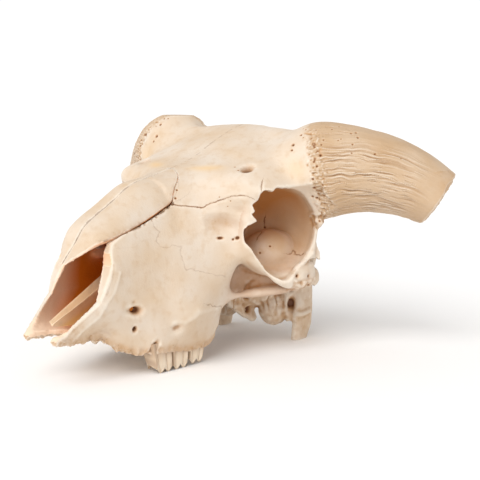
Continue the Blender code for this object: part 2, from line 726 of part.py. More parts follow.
def nasal_seat():
    """Room for both nasal bones in the rest of the skull, with the suture's gap round them."""
    rings = []
    for y in steps(NASAL_TIP_Y, NASAL_BACK_Y, NASAL_STATIONS):
        reach = nasal_x(y) + SUTURE
        edges = nasal_arch(y, -reach, reach, 0.0, 2)
        under = nasal_arch(y, -reach, reach, nasal_depth(y) + SUTURE, 15)
        lid = roof_z(y) + 9
        rings.append([(-reach, y, lid), (reach, y, lid), edges[1]] + list(reversed(under)) + [edges[0]])
    rings.insert(0, [(x, y - 6, z) for x, y, z in rings[0]])
    rings.append([(x, y + SUTURE, z) for x, y, z in rings[-1]])
    return loft("nasal_seat", rings)


def vomer():
    """Keel that runs forward over the palate, thicker along its upper edge."""
    return prism("vomer", VOMER, -VOMER_HALF, VOMER_HALF)


def bulla(grow):
    """Swollen ear capsule under the braincase."""
    return ball("bulla", BULLA_CENTRE, [r + grow for r in BULLA_RADII], 10, 14)


def tooth_columns(teeth, side):
    """Crowns of the molars: two tapering columns each, with their roots in the jaw."""
    columns = []
    margin = curve(MARGIN_X)
    for middle, length, width, end, lean in teeth:
        for cusp in (-1, 1):
            tip = middle + cusp * length * 0.24
            x = margin(tip) - TOOTH_INSET - width / 2
            rings = []
            for z, across, along in ((TOOTH_ROOT_Z, 0.92, 0.98), (end + 7.0, 1.0, 1.06),
                                     (end + 4.2, 0.96, 1.0), (end + CUSP_DEPTH, 0.74, 0.74),
                                     (end, 0.44, 0.4)):
                y = tip + lean * (z - end) / (TOOTH_ROOT_Z - end)
                rings.append([(side * (x + width / 2 * across * math.cos(2 * math.pi * k / TOOTH_SIDES)),
                               y + length * 0.27 * along * math.sin(2 * math.pi * k / TOOTH_SIDES), z)
                              for k in range(TOOTH_SIDES)])
            columns.append(loft("tooth", rings))
    return columns


def offset_outline(outline, grow):
    """A closed (y, z) outline moved outwards everywhere by the same distance."""
    area = sum(a[0] * b[1] - b[0] * a[1] for a, b in zip(outline, outline[1:] + outline[:1]))
    turn = 1 if area > 0 else -1
    moved = []
    for i, point in enumerate(outline):
        before = Vector(point) - Vector(outline[i - 1])
        after = Vector(outline[(i + 1) % len(outline)]) - Vector(point)
        n1 = Vector((before.y, -before.x)).normalized() * turn
        n2 = Vector((after.y, -after.x)).normalized() * turn
        middle = (n1 + n2).normalized()
        moved.append(tuple(Vector(point) + middle * (grow / max(0.35, middle.dot(n1)))))
    return moved


def take(rest, name, outline, inner_x):
    """Part one region off the rest of the skull by a cut as wide as a suture."""
    inner = prism("region", offset_outline(outline, -SUTURE / 2), inner_x + SUTURE / 2, CLEAR_SIDE)
    outer = prism("region", offset_outline(outline, SUTURE / 2), inner_x - SUTURE / 2, CLEAR_SIDE)
    piece = new_object(name, rest.data.copy())
    cut_one(piece, inner, "INTERSECT")
    keep_largest(piece)
    if inner_x > 0:
        cut_one(rest, mirror_copy(outer), "DIFFERENCE")
    cut_one(rest, outer, "DIFFERENCE")
    return piece


def left_half(piece):
    """Keep the half on the animal's left, half a suture short of the middle plane."""
    outline = [(CLEAR_FRONT, CLEAR_LOW), (CLEAR_BACK, CLEAR_LOW), (CLEAR_BACK, CLEAR_HIGH),
               (CLEAR_FRONT, CLEAR_HIGH)]
    middle = prism("middle", outline, SUTURE / 2, CLEAR_SIDE)
    cut_one(piece, middle, "INTERSECT")
    keep_largest(piece)


def horn_side(offset):
    """Half-space beyond the ring where the horn core leaves the brow."""
    heading = Vector((math.cos(HORN_RISE) * math.cos(HORN_YAW), math.cos(HORN_RISE) * math.sin(HORN_YAW),
                      math.sin(HORN_RISE)))
    middle = Vector(HORN_ROOT) + heading * (HORN_CUT_OFFSET + offset + HORN_CUT_REACH / 2)
    mesh = bpy.data.meshes.new("beyond")
    bm = bmesh.new()
    bmesh.ops.create_cube(bm, size=HORN_CUT_REACH * MM)
    turn = heading.to_track_quat("X", "Z").to_matrix().to_4x4()
    turn.translation = middle * MM
    bmesh.ops.transform(bm, matrix=turn, verts=bm.verts)
    bm.to_mesh(mesh)
    bm.free()
    return new_object("beyond", mesh)


def make_even(obj):
    """Rebuild the right side as the mirror image of the left."""
    mirror = obj.modifiers.new("mirror", "MIRROR")
    mirror.use_axis = (True, False, False)
    mirror.use_bisect_axis = (True, False, False)
    mirror.use_bisect_flip_axis = (False, False, False)
    mirror.use_clip = True
    mirror.merge_threshold = 0.0001
    evaluate(obj)
    keep_largest(obj)


def whole_bone():
    """The skull as one solid, before it is parted at its sutures."""
    paired = [orbit_funnel(), zygomatic_arch(), postorbital_bar(), condyle(), paraoccipital(),
              ear_tube(), pterygoid(), horn()]
    forms = [face(), brow(), body(), occiput()]
    for form in paired:
        forms += both_sides(form)
    bone = join("bone", forms)
    blend(bone)
    cutters = [nasal_cavity(), front_opening(), palate_notch(), throat(), foramen_magnum()]
    for cutter in (orbit_hollow(), temple(), tear_hollow()):
        cutters += both_sides(cutter)
    for cutter in cutters:
        cut_one(bone, cutter, "DIFFERENCE")
    blend(bone)
    thin_out(bone, BONE_TRIANGLES)
    make_even(bone)
    return bone


def finish(obj, material):
    """Material and smooth shading with crisp sutures."""
    obj.data.materials.clear()
    obj.data.materials.append(material)
    obj.data.shade_smooth()
    obj.data.set_sharp_from_angle(angle=SHARP_ANGLE)


def surface(name, colour, roughness):
    material = bpy.data.materials.new(name)
    material.use_nodes = True
    shader = material.node_tree.nodes["Principled BSDF"]
    shader.inputs["Base Color"].default_value = (*colour, 1)
    shader.inputs["Roughness"].default_value = roughness
    shader.inputs["Metallic"].default_value = 0.0
    return material


def build():
    for obj in list(bpy.data.objects):
        bpy.data.objects.remove(obj, do_unlink=True)
    bone = whole_bone()
    outline = [(CLEAR_FRONT, CLEAR_LOW), (CLEAR_BACK, CLEAR_LOW), (CLEAR_BACK, FLOOR_Z), (CLEAR_FRONT, FLOOR_Z)]
    cut_one(bone, prism("floor", outline, -CLEAR_SIDE, CLEAR_SIDE), "DIFFERENCE")
    for cutter in [nasal_seat()] + both_sides(bulla(SUTURE)):
        cut_one(bone, cutter, "DIFFERENCE")
    keep_largest(bone)

    horn_core = new_object("horn_core_left", bone.data.copy())
    cut_one(horn_core, horn_side(SUTURE / 2), "INTERSECT")
    keep_largest(horn_core)
    for cutter in both_sides(horn_side(-SUTURE / 2)):
        cut_one(bone, cutter, "DIFFERENCE")

    left = {"horn_core": horn_core}
    left["maxilla"] = take(bone, "maxilla_left", MAXILLA_SIDE, -CLEAR_SIDE)
    left["lacrimal"] = take(bone, "lacrimal_left", LACRIMAL_SIDE, LACRIMAL_INNER_X)
    left["zygomatic"] = take(bone, "zygomatic_left", ZYGOMATIC_SIDE, ZYGOMATIC_INNER_X)
    left["temporal"] = take(bone, "temporal_left", TEMPORAL_SIDE, TEMPORAL_INNER_X)
    left["frontal"] = take(bone, "frontal_left", FRONTAL_SIDE, -CLEAR_SIDE)
    for name in ("maxilla", "frontal"):
        left_half(left[name])
    parietal = take(bone, "parietal", PARIETAL_SIDE, -CLEAR_SIDE)
    occipital = take(bone, "occipital", OCCIPITAL_SIDE, -CLEAR_SIDE)
    ethmoid = take(bone, "ethmoid", ETHMOID_SIDE, -CLEAR_SIDE)
    bone.name = "sphenoid"
    keep_largest(bone)

    left["nasal"] = nasal_bone()
    left["bulla"] = bulla(0.0)
    keel = vomer()

    nodes = [bone, parietal, occipital, ethmoid, keel]
    for name, piece in left.items():
        piece.name = name + "_left"
        right = mirror_copy(piece)
        right.name = name + "_right"
        if name == "maxilla":
            combine(piece, tooth_columns(TEETH_LEFT, 1), "UNION")
            combine(right, tooth_columns(TEETH_RIGHT, -1), "UNION")
            keep_largest(piece)
            keep_largest(right)
        nodes += [piece, right]

    ends = [v.co.y for node in nodes for v in node.data.vertices]
    middle = (min(ends) + max(ends)) / 2
    ivory = surface("bleached_bone", IVORY, BONE_ROUGHNESS)
    core = surface("horn_core_bone", CORE_TAN, CORE_ROUGHNESS)
    for node in nodes:
        node.data.transform(Matrix.Translation((0, -middle, 0)))
        finish(node, core if node.name.startswith("horn_core") else ivory)


build()
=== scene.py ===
import math

import bmesh
import bpy
import numpy as np
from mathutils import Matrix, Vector


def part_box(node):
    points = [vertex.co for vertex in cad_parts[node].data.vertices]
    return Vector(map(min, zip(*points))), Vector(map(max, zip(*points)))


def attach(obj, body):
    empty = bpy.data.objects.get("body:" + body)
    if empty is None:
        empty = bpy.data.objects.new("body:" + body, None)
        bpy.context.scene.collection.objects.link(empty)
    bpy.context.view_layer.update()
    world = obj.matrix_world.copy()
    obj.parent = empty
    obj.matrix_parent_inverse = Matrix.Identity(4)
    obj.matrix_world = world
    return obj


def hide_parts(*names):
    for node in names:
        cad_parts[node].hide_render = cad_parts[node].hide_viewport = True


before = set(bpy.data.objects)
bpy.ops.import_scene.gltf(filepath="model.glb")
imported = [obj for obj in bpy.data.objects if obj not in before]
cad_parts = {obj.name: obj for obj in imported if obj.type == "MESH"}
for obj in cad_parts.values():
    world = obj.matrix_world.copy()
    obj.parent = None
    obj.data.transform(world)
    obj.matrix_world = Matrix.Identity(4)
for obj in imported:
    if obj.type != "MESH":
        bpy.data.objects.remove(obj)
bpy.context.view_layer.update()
# Shapes are written in millimetres with the nose towards -y and the left side at +x.
# forward is how far they move along y to sit on the CAD.
mm = 0.001
metre = 1000
forward = -45.909
cadClear = 0.02  # how far the shapes stay inside the CAD's box, mm
cadLow = np.array([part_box(n)[0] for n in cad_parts]).min(0) * metre
cadHigh = np.array([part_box(n)[1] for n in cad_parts]).max(0) * metre
bodyName = "root"
print("frame loaded:", len(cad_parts), "nodes")


def newObject(name, data):
    obj = bpy.data.objects.new(name, data)
    bpy.context.scene.collection.objects.link(obj)
    return obj


camera = {"place": (440.616, -394.348, 154.050), "azimuth": 42, "elevation": 8, "lens": 79.5, "sensor": 36}


def makeCamera():
    data = bpy.data.cameras.new("photoCamera")
    data.lens, data.sensor_width = camera["lens"], camera["sensor"]
    obj = newObject("photoCamera", data)
    x, y, z = camera["place"]
    obj.location = Vector((x, y + forward, z)) * mm
    a, e = math.radians(camera["azimuth"]), math.radians(camera["elevation"])
    look = Vector((-math.sin(a) * math.cos(e), math.cos(a) * math.cos(e), -math.sin(e)))
    obj.rotation_euler = look.to_track_quat("-Z", "Y").to_euler()
    bpy.context.scene.camera = obj


makeCamera()
print("camera set")


def curve(knots):
    # smooth value along (place, value) knots that never swings past them
    places, values = np.array(knots, float).T
    rises = np.diff(values) / np.diff(places)
    slopes = np.zeros(len(places))
    slopes[0], slopes[-1] = rises[0], rises[-1]
    for i in range(1, len(places) - 1):
        if rises[i - 1] * rises[i] > 0:
            slopes[i] = 2 * rises[i - 1] * rises[i] / (rises[i - 1] + rises[i])

    def value(place):
        place = np.clip(place, places[0], places[-1])
        i = np.clip(np.searchsorted(places, place, side="right") - 1, 0, len(places) - 2)
        step = places[i + 1] - places[i]
        t = (place - places[i]) / step
        return (values[i] * (1 + 2 * t) * (1 - t) ** 2 + values[i + 1] * t * t * (3 - 2 * t)
                + step * (slopes[i] * t * (1 - t) ** 2 - slopes[i + 1] * t * t * (1 - t)))

    return value


def steps(first, last, count):
    return [first + (last - first) * i / (count - 1) for i in range(count)]


def track(knots, count):
    # rows of values that run smoothly through the knots' rows
    runs = [curve([(i, k[c]) for i, k in enumerate(knots)]) for c in range(len(knots[0]))]
    return [[float(run(t)) for run in runs] for t in steps(0, len(knots) - 1, count)]


def turns(count):
    return [2 * math.pi * k / count for k in range(count)]


def rework(mesh, change):
    bm = bmesh.new()
    bm.from_mesh(mesh)
    change(bm)
    bm.to_mesh(mesh)
    bm.free()


def closedMesh(name, points, faces):
    mesh = bpy.data.meshes.new(name)
    mesh.from_pydata([(p[0] * mm, (p[1] + forward) * mm, p[2] * mm) for p in points], [], faces)

    def close(bm):
        bmesh.ops.triangulate(bm, faces=[f for f in bm.faces if len(f.verts) > 4])
        bmesh.ops.recalc_face_normals(bm, faces=bm.faces)
        if bm.calc_volume(signed=True) < 0:
            bmesh.ops.reverse_faces(bm, faces=bm.faces)

    rework(mesh, close)
    return newObject(name, mesh)


def loft(name, rings):
    # skin over rings of equal count, closed at both ends
    n = len(rings[0])
    last = (len(rings) - 1) * n
    faces = [(a + i, a + (i + 1) % n, a + n + (i + 1) % n, a + n + i)
             for a in range(0, last, n) for i in range(n)]
    faces += [tuple(reversed(range(n))), tuple(range(last, last + n))]
    return closedMesh(name, [p for ring in rings for p in ring], faces)


def closedSpline(points, perSpan):
    pts = [np.array(p, float) for p in points]
    out = []
    for i in range(len(pts)):
        a, b, c, d = [pts[(i + k) % len(pts)] for k in (-1, 0, 1, 2)]
        for t in [k / perSpan for k in range(perSpan)]:
            out.append(0.5 * (2 * b + (c - a) * t + (2 * a - 5 * b + 4 * c - d) * t * t
                              + (3 * b - a - 3 * c + d) * t ** 3))
    return out


def mirroredSection(half, y, perSpan=6):
    # whole cross-section from the half on +x, top middle to bottom middle
    other = [(-x, z) for x, z in reversed(half[1:-1])]
    return [(p[0], y, p[1]) for p in closedSpline(half + other, perSpan)]


def shell(name, half, rows):
    # skin over mirrored sections; each row is the place along y and what the section needs
    return loft(name, [mirroredSection(half(*row), row[0]) for row in rows])


def routed(name, knots, count=60, sides=36):
    # bar along knots of x, y, z, half height and half thickness
    rows = track(knots, count)
    path = [Vector(row[:3]) for row in rows]
    rings = []
    for i, (point, row) in enumerate(zip(path, rows)):
        ahead = (path[min(i + 1, count - 1)] - path[max(i - 1, 0)]).normalized()
        side = Vector((0, 0, 1)).cross(ahead)
        if side.length < 0.05:  # the bar runs straight up
            side = Vector((1, 0, 0))
        side.normalize()
        up = ahead.cross(side)
        rings.append([tuple(point + up * (row[3] * math.sin(a)) + side * (row[4] * math.cos(a)))
                      for a in turns(sides)])
    return loft(name, rings)


def upright(name, knots, count=40, sides=36):
    # level oval sections along knots of x, y, z, half length and half thickness
    return loft(name, [[(x + across * math.cos(a), y + along * math.sin(a), z) for a in turns(sides)]
                       for x, y, z, along, across in track(knots, count)])


def ball(name, centre, radii, rings=24, sides=36):
    cx, cy, cz = centre
    rx, ry, rz = radii
    return loft(name, [[(cx + rx * math.sin(b) * math.cos(a), cy - ry * math.cos(b),
                         cz + rz * math.sin(b) * math.sin(a)) for a in turns(sides)]
                       for b in [math.pi * i / rings for i in range(1, rings)]])


def prism(name, outline, xFrom, xTo):
    return loft(name, [[(x, y, z) for y, z in outline] for x in (xFrom, xTo)])


def remove(obj):
    bpy.data.objects.remove(obj, do_unlink=True)


def bothSides(obj):
    # the object and its mirror image
    mesh = obj.data.copy()

    def flip(bm):
        for v in bm.verts:
            v.co.x = -v.co.x
        bmesh.ops.reverse_faces(bm, faces=bm.faces)

    rework(mesh, flip)
    return [obj, newObject(obj.name + "Mirrored", mesh)]


def evaluate(obj):
    mesh = bpy.data.meshes.new_from_object(obj.evaluated_get(bpy.context.evaluated_depsgraph_get()))
    obj.modifiers.clear()
    obj.data = mesh


def cutOne(obj, cutter, operation="DIFFERENCE"):
    boolean = obj.modifiers.new("cut", "BOOLEAN")
    boolean.operation, boolean.solver, boolean.object = operation, "MANIFOLD", cutter
    evaluate(obj)
    remove(cutter)


def joinForms(name, objects):
    mesh = bpy.data.meshes.new(name)
    bm = bmesh.new()
    for obj in objects:
        bm.from_mesh(obj.data)
        remove(obj)
    bm.to_mesh(mesh)
    bm.free()
    return newObject(name, mesh)


def soften(obj, rounds, group=""):
    smooth = obj.modifiers.new("soften", "SMOOTH")
    smooth.factor, smooth.iterations, smooth.vertex_group = 0.5, rounds, group
    evaluate(obj)


def melt(obj, step, rounds):
    # one skin over overlapping forms, with soft seams
    remesh = obj.modifiers.new("melt", "REMESH")
    remesh.mode, remesh.voxel_size = "VOXEL", step * mm
    soften(obj, rounds)


def ease(obj, mask, rounds):
    # fair the skin where the mask says
    group = obj.vertex_groups.new(name="ease")
    for i in np.nonzero(mask > 0.02)[0]:
        group.add([int(i)], float(mask[i]), "REPLACE")
    soften(obj, rounds, "ease")
    obj.vertex_groups.clear()


def keepLargest(obj):
    # drop every loose shell but the largest
    edges = np.zeros(len(obj.data.edges) * 2, np.int64)
    obj.data.edges.foreach_get("vertices", edges)
    edges = edges.reshape(-1, 2)
    group, fresh = None, np.arange(len(obj.data.vertices))
    while group is None or (fresh != group).any():
        group = fresh
        low = np.minimum(group[edges[:, 0]], group[edges[:, 1]])
        fresh = group.copy()
        np.minimum.at(fresh, edges[:, 0], low)
        np.minimum.at(fresh, edges[:, 1], low)
        fresh = fresh[fresh]
    names, sizes = np.unique(group, return_counts=True)
    drop = group != names[sizes.argmax()]
    if drop.any():
        rework(obj.data, lambda bm: bmesh.ops.delete(bm, geom=[v for v in bm.verts if drop[v.index]],
                                                     context="VERTS"))


def readPoints(mesh):
    # vertex places in millimetres, before the shift along y
    co = np.zeros(len(mesh.vertices) * 3)
    mesh.vertices.foreach_get("co", co)
    return co.reshape(-1, 3) * metre - (0, forward, 0)


def readNormals(mesh):
    normals = np.zeros(len(mesh.vertices) * 3)
    mesh.vertices.foreach_get("normal", normals)
    return normals.reshape(-1, 3)


def writePoints(mesh, co):
    co = np.clip(co + (0, forward, 0), cadLow + cadClear, cadHigh - cadClear)
    mesh.vertices.foreach_set("co", (co * mm).ravel())
    mesh.update()


# stored on the skin for the materials: distance to a suture, its half width and darkness, then how much of each
maskNames = ("seam", "seamWide", "seamTone", "pit", "inside", "socket", "stain", "raw", "core", "groove",
             "ring")


def writeMask(mesh, name, values):
    layer = mesh.attributes.get(name) or mesh.attributes.new(name, "FLOAT", "POINT")
    layer.data.foreach_set("value", np.asarray(values, np.float32))


def writeMasks(mesh, masks):
    for name in maskNames:
        writeMask(mesh, name, np.zeros(len(mesh.vertices)) + masks.get(name, 0))


def cloud(co, size, seed):
    # soft seeded unevenness from -1 to 1 with swells of that size in mm; size may differ along x, y and z
    count = 32
    table = np.random.default_rng(seed).uniform(-1, 1, (count, count, count))
    p = co / np.array(size, float)
    base = np.floor(p).astype(int)
    t = p - base
    t = t * t * (3 - 2 * t)
    total = 0
    for corner in range(8):
        step = np.array([corner & 1, corner >> 1 & 1, corner >> 2])
        i, j, k = ((base + step) % count).T
        total = total + np.prod(np.where(step, t, 1 - t), axis=1) * table[i, j, k]
    return total


def clouds(co, layers):
    # unevenness in layers, each its height, size in mm and seed
    return sum(height * cloud(co, size, seed) for height, size, seed in layers)


def fall(value, full, gone):
    # 1 up to full, 0 from gone on, smooth between; it rises where gone is the lower of the two
    t = np.clip((gone - value) / (gone - full), 0, 1)
    return t * t * (3 - 2 * t)


def softBox(q, edges):
    # product of soft edges, each its axis, where it is full and where it has faded out
    mask = 1.0
    for axis, full, gone in edges:
        mask = mask * fall(q[:, "xyz".index(axis)], full, gone)
    return mask


def blob(q, place, spread):
    return np.exp(-((q - place) ** 2 / spread).sum(1))


def folded(co, *others):
    # points, and arrows that go with them, mirrored onto the left side
    flip = np.where(co[:, :1] < 0, -1.0, 1.0) ** np.array((1, 0, 0))
    return [arrows * flip for arrows in (co, *others)]


# curves along y that give the form its profile: width X or height Z
lines = {
    "roofZ": [(-62, 44), (-46, 63.5), (-38, 72.2), (-30.4, 81.6), (-13.8, 91.7), (6.3, 103), (31.2, 108.8),
        (50.9, 114.6), (72.5, 125.2), (91.3, 132), (101, 133.8), (108, 131.6), (116, 123), (124, 109),
        (130, 95), (134, 82)],
    "cornerX": [(-62, 13), (-46, 14.5), (-31, 16.5), (-17, 17.8), (-1.4, 18.5), (15, 19), (22.5, 23.2),
        (30.7, 29.2), (39.8, 37), (44.2, 42), (51, 48)],
    "cornerZ": [(-62, 40), (-46, 60), (-31, 72), (-17, 78), (-1.4, 83.8), (15, 91.3), (22.5, 90.8),
        (30.7, 89.6), (39.8, 93.5), (51, 94)],
    "wallX": [(-62, 14.8), (-46, 19.2), (-31, 23.4), (-18, 24.4), (0, 26.8), (15, 30), (25, 33), (35, 38.5),
        (42, 44), (51, 48)],
    "wallZ": [(-62, 32), (-46, 48), (-31, 60), (0, 65), (25, 70), (42, 73), (51, 76)],
    "cheekX": [(-63, 14.4), (-53, 16.8), (-46, 19), (-34, 23.2), (-18, 25.8), (0, 31.5), (12, 36.5), (22, 38),
        (35, 38.5), (42, 41), (51, 45)],
    "cheekZ": [(-62, 27), (-46, 33), (-34, 41), (-18, 39), (0, 35), (12, 33), (22, 36), (35, 44), (42, 52),
        (51, 66)],
    "marginX": [(-63, 14), (-45, 16), (-34, 18.2), (-24, 20.6), (-13, 25.2), (-5, 29.2), (5, 31), (33, 31),
        (41, 32), (45, 34), (51, 40)],
    "marginZ": [(-62, 23.6), (-45, 22.3), (-34, 21), (-24, 15.7), (-13, 12.1), (5, 11.3), (20, 9.6),
        (33, 9.8), (37, 12), (41, 20), (45, 32), (51, 62)],
    "palateX": [(-62, 9), (-40, 11), (-20, 14), (0, 17), (30, 19.5), (51, 24)],
    "palateZ": [(-62, 25), (-40, 23.5), (-20, 20.5), (0, 19.5), (30, 19.5), (38, 22), (45, 34), (51, 64)],
    "browX": [(16, 19), (24, 24), (31, 29.5), (38, 38.5), (43, 47), (48, 53.2), (55, 57.6), (64, 60.6),
        (72, 61.8), (79, 62.2), (86, 60), (93, 56), (100, 50)],
    "browZ": [(16, 92), (24, 91.5), (31, 91.5), (38, 95), (42, 98), (50, 101), (64, 102.5), (72, 103),
        (79, 105), (86, 114), (93, 129), (100, 130)],
    "bodyX": [(30, 16), (45, 21), (60, 21), (75, 25), (88, 31), (98, 35), (108, 36), (118, 33.5), (127, 27),
        (134, 19)],
    "bodyDrop": [(30, 6), (96, 8), (102, 0.5), (134, 0.5)],
    "bodyLow": [(30, 62), (40, 46), (50, 38), (60, 33), (80, 25), (95, 21), (108, 22), (120, 30), (130, 40),
        (134, 50)],
    "cavityX": [(-66, 11.4), (-50, 15.6), (-40, 19.2), (-30, 21.4), (-10, 22.3), (12, 21), (26, 14)],
    "cavityLow": [(-66, 27.5), (-40, 27), (0, 26.5), (26, 36)],
    "nasalX": [(-46, 2.6), (-42.7, 5), (-39.8, 8.2), (-36.5, 11.4), (-31.4, 14.3), (-22, 16.4), (-11, 17.7),
        (-1.4, 18.5), (9.6, 19), (16, 19), (21, 17), (27.5, 13.4), (31, 9), (34.5, 3)],
    "nasalEdgeZ": [(-46, 64), (-42.7, 66), (-39.8, 69.6), (-36.5, 72.6), (-31.4, 74.6), (-22, 76.5),
        (-11, 80.4), (-1.4, 84), (9.6, 88.8), (16, 92), (21, 95.4), (27.5, 99.5), (31, 103.6), (34.5, 107.5)],
}
line = {name: curve(knots) for name, knots in lines.items()}


def at(y, *names):
    found = [float(line[name](y)) for name in names]
    return found if len(names) > 1 else found[0]


skull = {
    "formStep": 1, "skinStep": 0.8,  # size of the facets while the forms melt, and of the finished bone, mm
    # first and last place along y, and how many sections
    "face": (-63.2, 51, 110), "brow": (16, 100, 90), "body": (30, 134, 100), "cavity": (-66, 26, 60),
    "browDepth": 22, "roofThick": 2, "cornerThick": 2.6,
    "orbitCentre": (57.6, 67.5, 75), "orbitTurn": math.radians(14), "orbitRadius": 24.3,
    "orbitCorner": 3.4, "orbitCornerAt": math.radians(122), "orbitCornerWide": math.radians(22),
    "orbitBackset": 0.1, "orbitSides": 240,
    # fine jags of the rim in mm, more on its front at the turn in degrees
    "jagLow": 0.12, "jagMore": 0.32, "jagAt": 125, "jagReach": (40, 58),
    "jags": [(1, (3.1, 99, 99), 5), (0.6, (1.7, 99, 99), 6)],
    # depth, share of the rim's size, extra radius, how far the edge follows the ragged rim
    "funnel": [(0, 1, 1.4, 0), (3, 1.01, 2, 0), (12, 1, 3.4, 0), (24, 0.86, 4.6, 0), (34, 0.66, 4, 0),
        (42, 0.4, 4, 0)],
    "hollow": [(-14, 1.35, 0, 0.4), (-5, 1.1, 0, 1), (-1, 1, 0, 1), (1.6, 1, 0, 1), (4.5, 1, 0, 0.5),
        (9, 0.98, 0, 0.15), (18, 0.87, 0, 0), (26, 0.7, 0, 0), (33, 0.46, 0, 0), (37, 0.16, 0, 0)],
    # ragged rim as degrees round from the back, and its radius
    "rim": [(0, 22.9), (11, 23.7), (23, 23.9), (35, 23.7), (49, 24.3), (64, 24.8), (80, 24.7), (88, 24.3),
        (93, 24.1), (98, 24.9), (104, 24.8), (109, 24), (115, 25.6), (120.7, 27.3), (125, 27.2), (130, 26.4),
        (133.3, 24.9), (137, 25.5), (141, 26.1), (147.9, 22.2), (152.3, 23.7), (155, 21.3), (159.5, 18.6),
        (165, 21.4), (171, 24.3), (180, 25.4), (190, 25.2), (203, 22.6), (218, 22.2), (232, 22.8),
        (246, 24.6), (259, 26.8), (271, 28.3), (281, 26.8), (292, 24.9), (306, 23.7), (321, 23.2),
        (336, 22.9), (349, 22.8), (360, 22.9)],
    "arch": [(42, 42, 66, 7, 4), (47.5, 49.5, 62, 4.6, 3.6), (52, 56, 55.5, 3.4, 3), (56, 64, 49, 3.8, 3),
        (58.6, 73, 46, 5.6, 3.2), (60.2, 82, 47, 7.6, 3.2), (59.6, 89.5, 48, 7.6, 3.2),
        (54.5, 96.5, 45.5, 6.6, 3.6), (51, 104, 43, 6, 4.2), (42, 107.5, 44, 6, 5), (32, 109, 46, 6, 6)],
    # plate under the arch that runs back from the cheek, its face set in from the arch
    "web": [(29, 36, 45, 13, 4), (25.5, 45, 45, 12, 4), (25, 53, 45, 11, 3.6), (29, 62, 44.8, 9.4, 3),
        (36.5, 71, 44.2, 7.2, 2.6), (46.5, 81, 42.8, 4.4, 2.6), (56, 89, 41.4, 2.6, 2.4)],
    # lower border of the arch, that stands out below the hollow
    "lip": [(32.5, 38, 37, 5, 5), (33.5, 47, 36.6, 3.6, 5), (35.5, 56, 36.8, 3.2, 4.6),
        (40.5, 66, 37.5, 3, 4.2), (48, 76, 38.6, 2.8, 3.6), (57, 87, 40.8, 2.6, 2.8)],
    "bar": [(60.5, 88, 94, 5, 5), (61.6, 89.6, 84, 2.6, 3.2), (62, 90.2, 75, 2.2, 2.8),
        (61.4, 89.6, 66, 2.4, 2.8), (60.6, 89, 57, 4, 3)],
    "temple": [(45, 104, 86, 4, 6), (47, 104, 70, 4.5, 6.5), (47.5, 103, 56, 5, 7), (48, 98, 40, 7, 7),
        (49, 96, 22, 8, 8)],
    "occiput": [(116, 20, 94, 35, 44, 30), (122, 23, 98, 36, 46, 34), (128, 24, 95, 34.5, 47, 37),
        (133, 21, 86, 29, 50, 41), (136, 13, 74, 19, 54, 46)],
    "condyle": [(9, 128, 36, 7, 6), (15, 133, 39, 9.5, 6.5), (19, 132, 47, 9, 6), (20, 128, 54, 6, 5)],
    "paraoccipital": [(30, 117.5, 46, 10.5, 5.5), (31.6, 117, 34, 10.2, 4.6), (32.6, 116.8, 22, 9.8, 3.8),
        (33, 116.4, 10, 9, 3.3), (31.8, 114.4, -1.5, 6.6, 3)],
    "earTube": [(32, 110, 50, 6, 7), (40, 111.5, 50.5, 4.4, 4.6), (46, 112.6, 50.4, 2.6, 2.2)],
    "foramen": [(0, 146, 50, 9, 10), (0, 134, 53, 8.6, 9.6), (0, 122, 57, 8, 9), (0, 112, 62, 8, 9)],
    "brainCase": [(0, 100, 70), (19, 20, 17)],
    "pterygoid": [(44, 58), (47, 33), (55, 30), (63, 29), (72, 23), (81, 17), (89, 12.5), (94, 11.5),
        (96, 14), (93, 19), (97, 25), (104, 28), (100, 40), (80, 50), (60, 56)],
    "pterygoidX": (11, 14.6),
    "throat": [(30, 8, 30, 25), (38, 10, 36, 18), (50, 10.4, 42, 12), (70, 10.4, 39, 6), (92, 10.2, 33, 2),
        (108, 9, 30, 0)],
    "openingRim": [(-63.5, 25), (-57, 29.2), (-51.6, 34.2), (-45.6, 39), (-38.6, 44.4), (-36, 51),
        (-33, 57.4), (-30.4, 63), (-29, 69.2), (-26, 74), (-19, 77.6)],
    "notch": [(-8.4, -64), (-7.6, -50), (-5, -42), (0, -38.5)], "notchZ": (10, 45),
    "openingFront": -90, "clear": 150,
    "lean": 2.2, "leftDrop": 2,  # how much the right horn core is raised and the left one's top lowered, mm
    "rightBrow": (-3.5, -1.5, 3.5),
    # swellings: middle and half sizes; processes: knots, how many sections, and sides
    "swellings": [
        ("bulla", (20, 105, 21), (8.5, 12.5, 12.5)), ("lacrimalBulla", (36.5, 80.5, 60), (14.5, 18, 13)),
        ("turbinate", (18.6, -3.5, 63.5), (2.4, 6.5, 4)), ("collarKnob", (63.5, 93.5, 79.5), (3.4, 3.6, 4.2))],
    "processes": [
        ("rearSpur", [(60.5, 90.5, 66, 2.5, 1.5), (62, 93, 60, 2.4, 1.2), (63, 95, 55.5, 0.7, 0.7)], 14, 14),
        ("jugularPlate", [(28.5, 107, 46, 6, 5), (29, 107.5, 30, 6, 4), (29.5, 108.5, 18, 5, 3),
            (30, 109, 12, 3, 2)], 20, 20),
        ("muscularProcess", [(26, 90, 26, 3, 3), (27, 87, 18, 2.4, 2), (27.5, 86, 12, 1.4, 1.2)], 12, 14),
        ("basilarTubercle", [(5, 112, 27, 5, 4), (6, 108, 23, 3.5, 3), (6, 104, 21, 2, 2)], 12, 14),
    ],
}

hornCore = {
    "root": (57.7, 98.3, 108.6), "yaw": 0.57, "rise": 0.17, "bend": 0.76, "length": 74.8,
    "height": (30.2, 17.2), "depth": (26.5, 20.3),  # half sizes at the root and at the end
    "pedicle": 26.0, "pedicleSink": 0.42, "pedicleTaper": 0.25, "pedicleSteps": (1.0, 0.66, 0.33),
    "sides": 96, "walk": 24, "rings": 40,
    "cutOffset": 3.0,
}

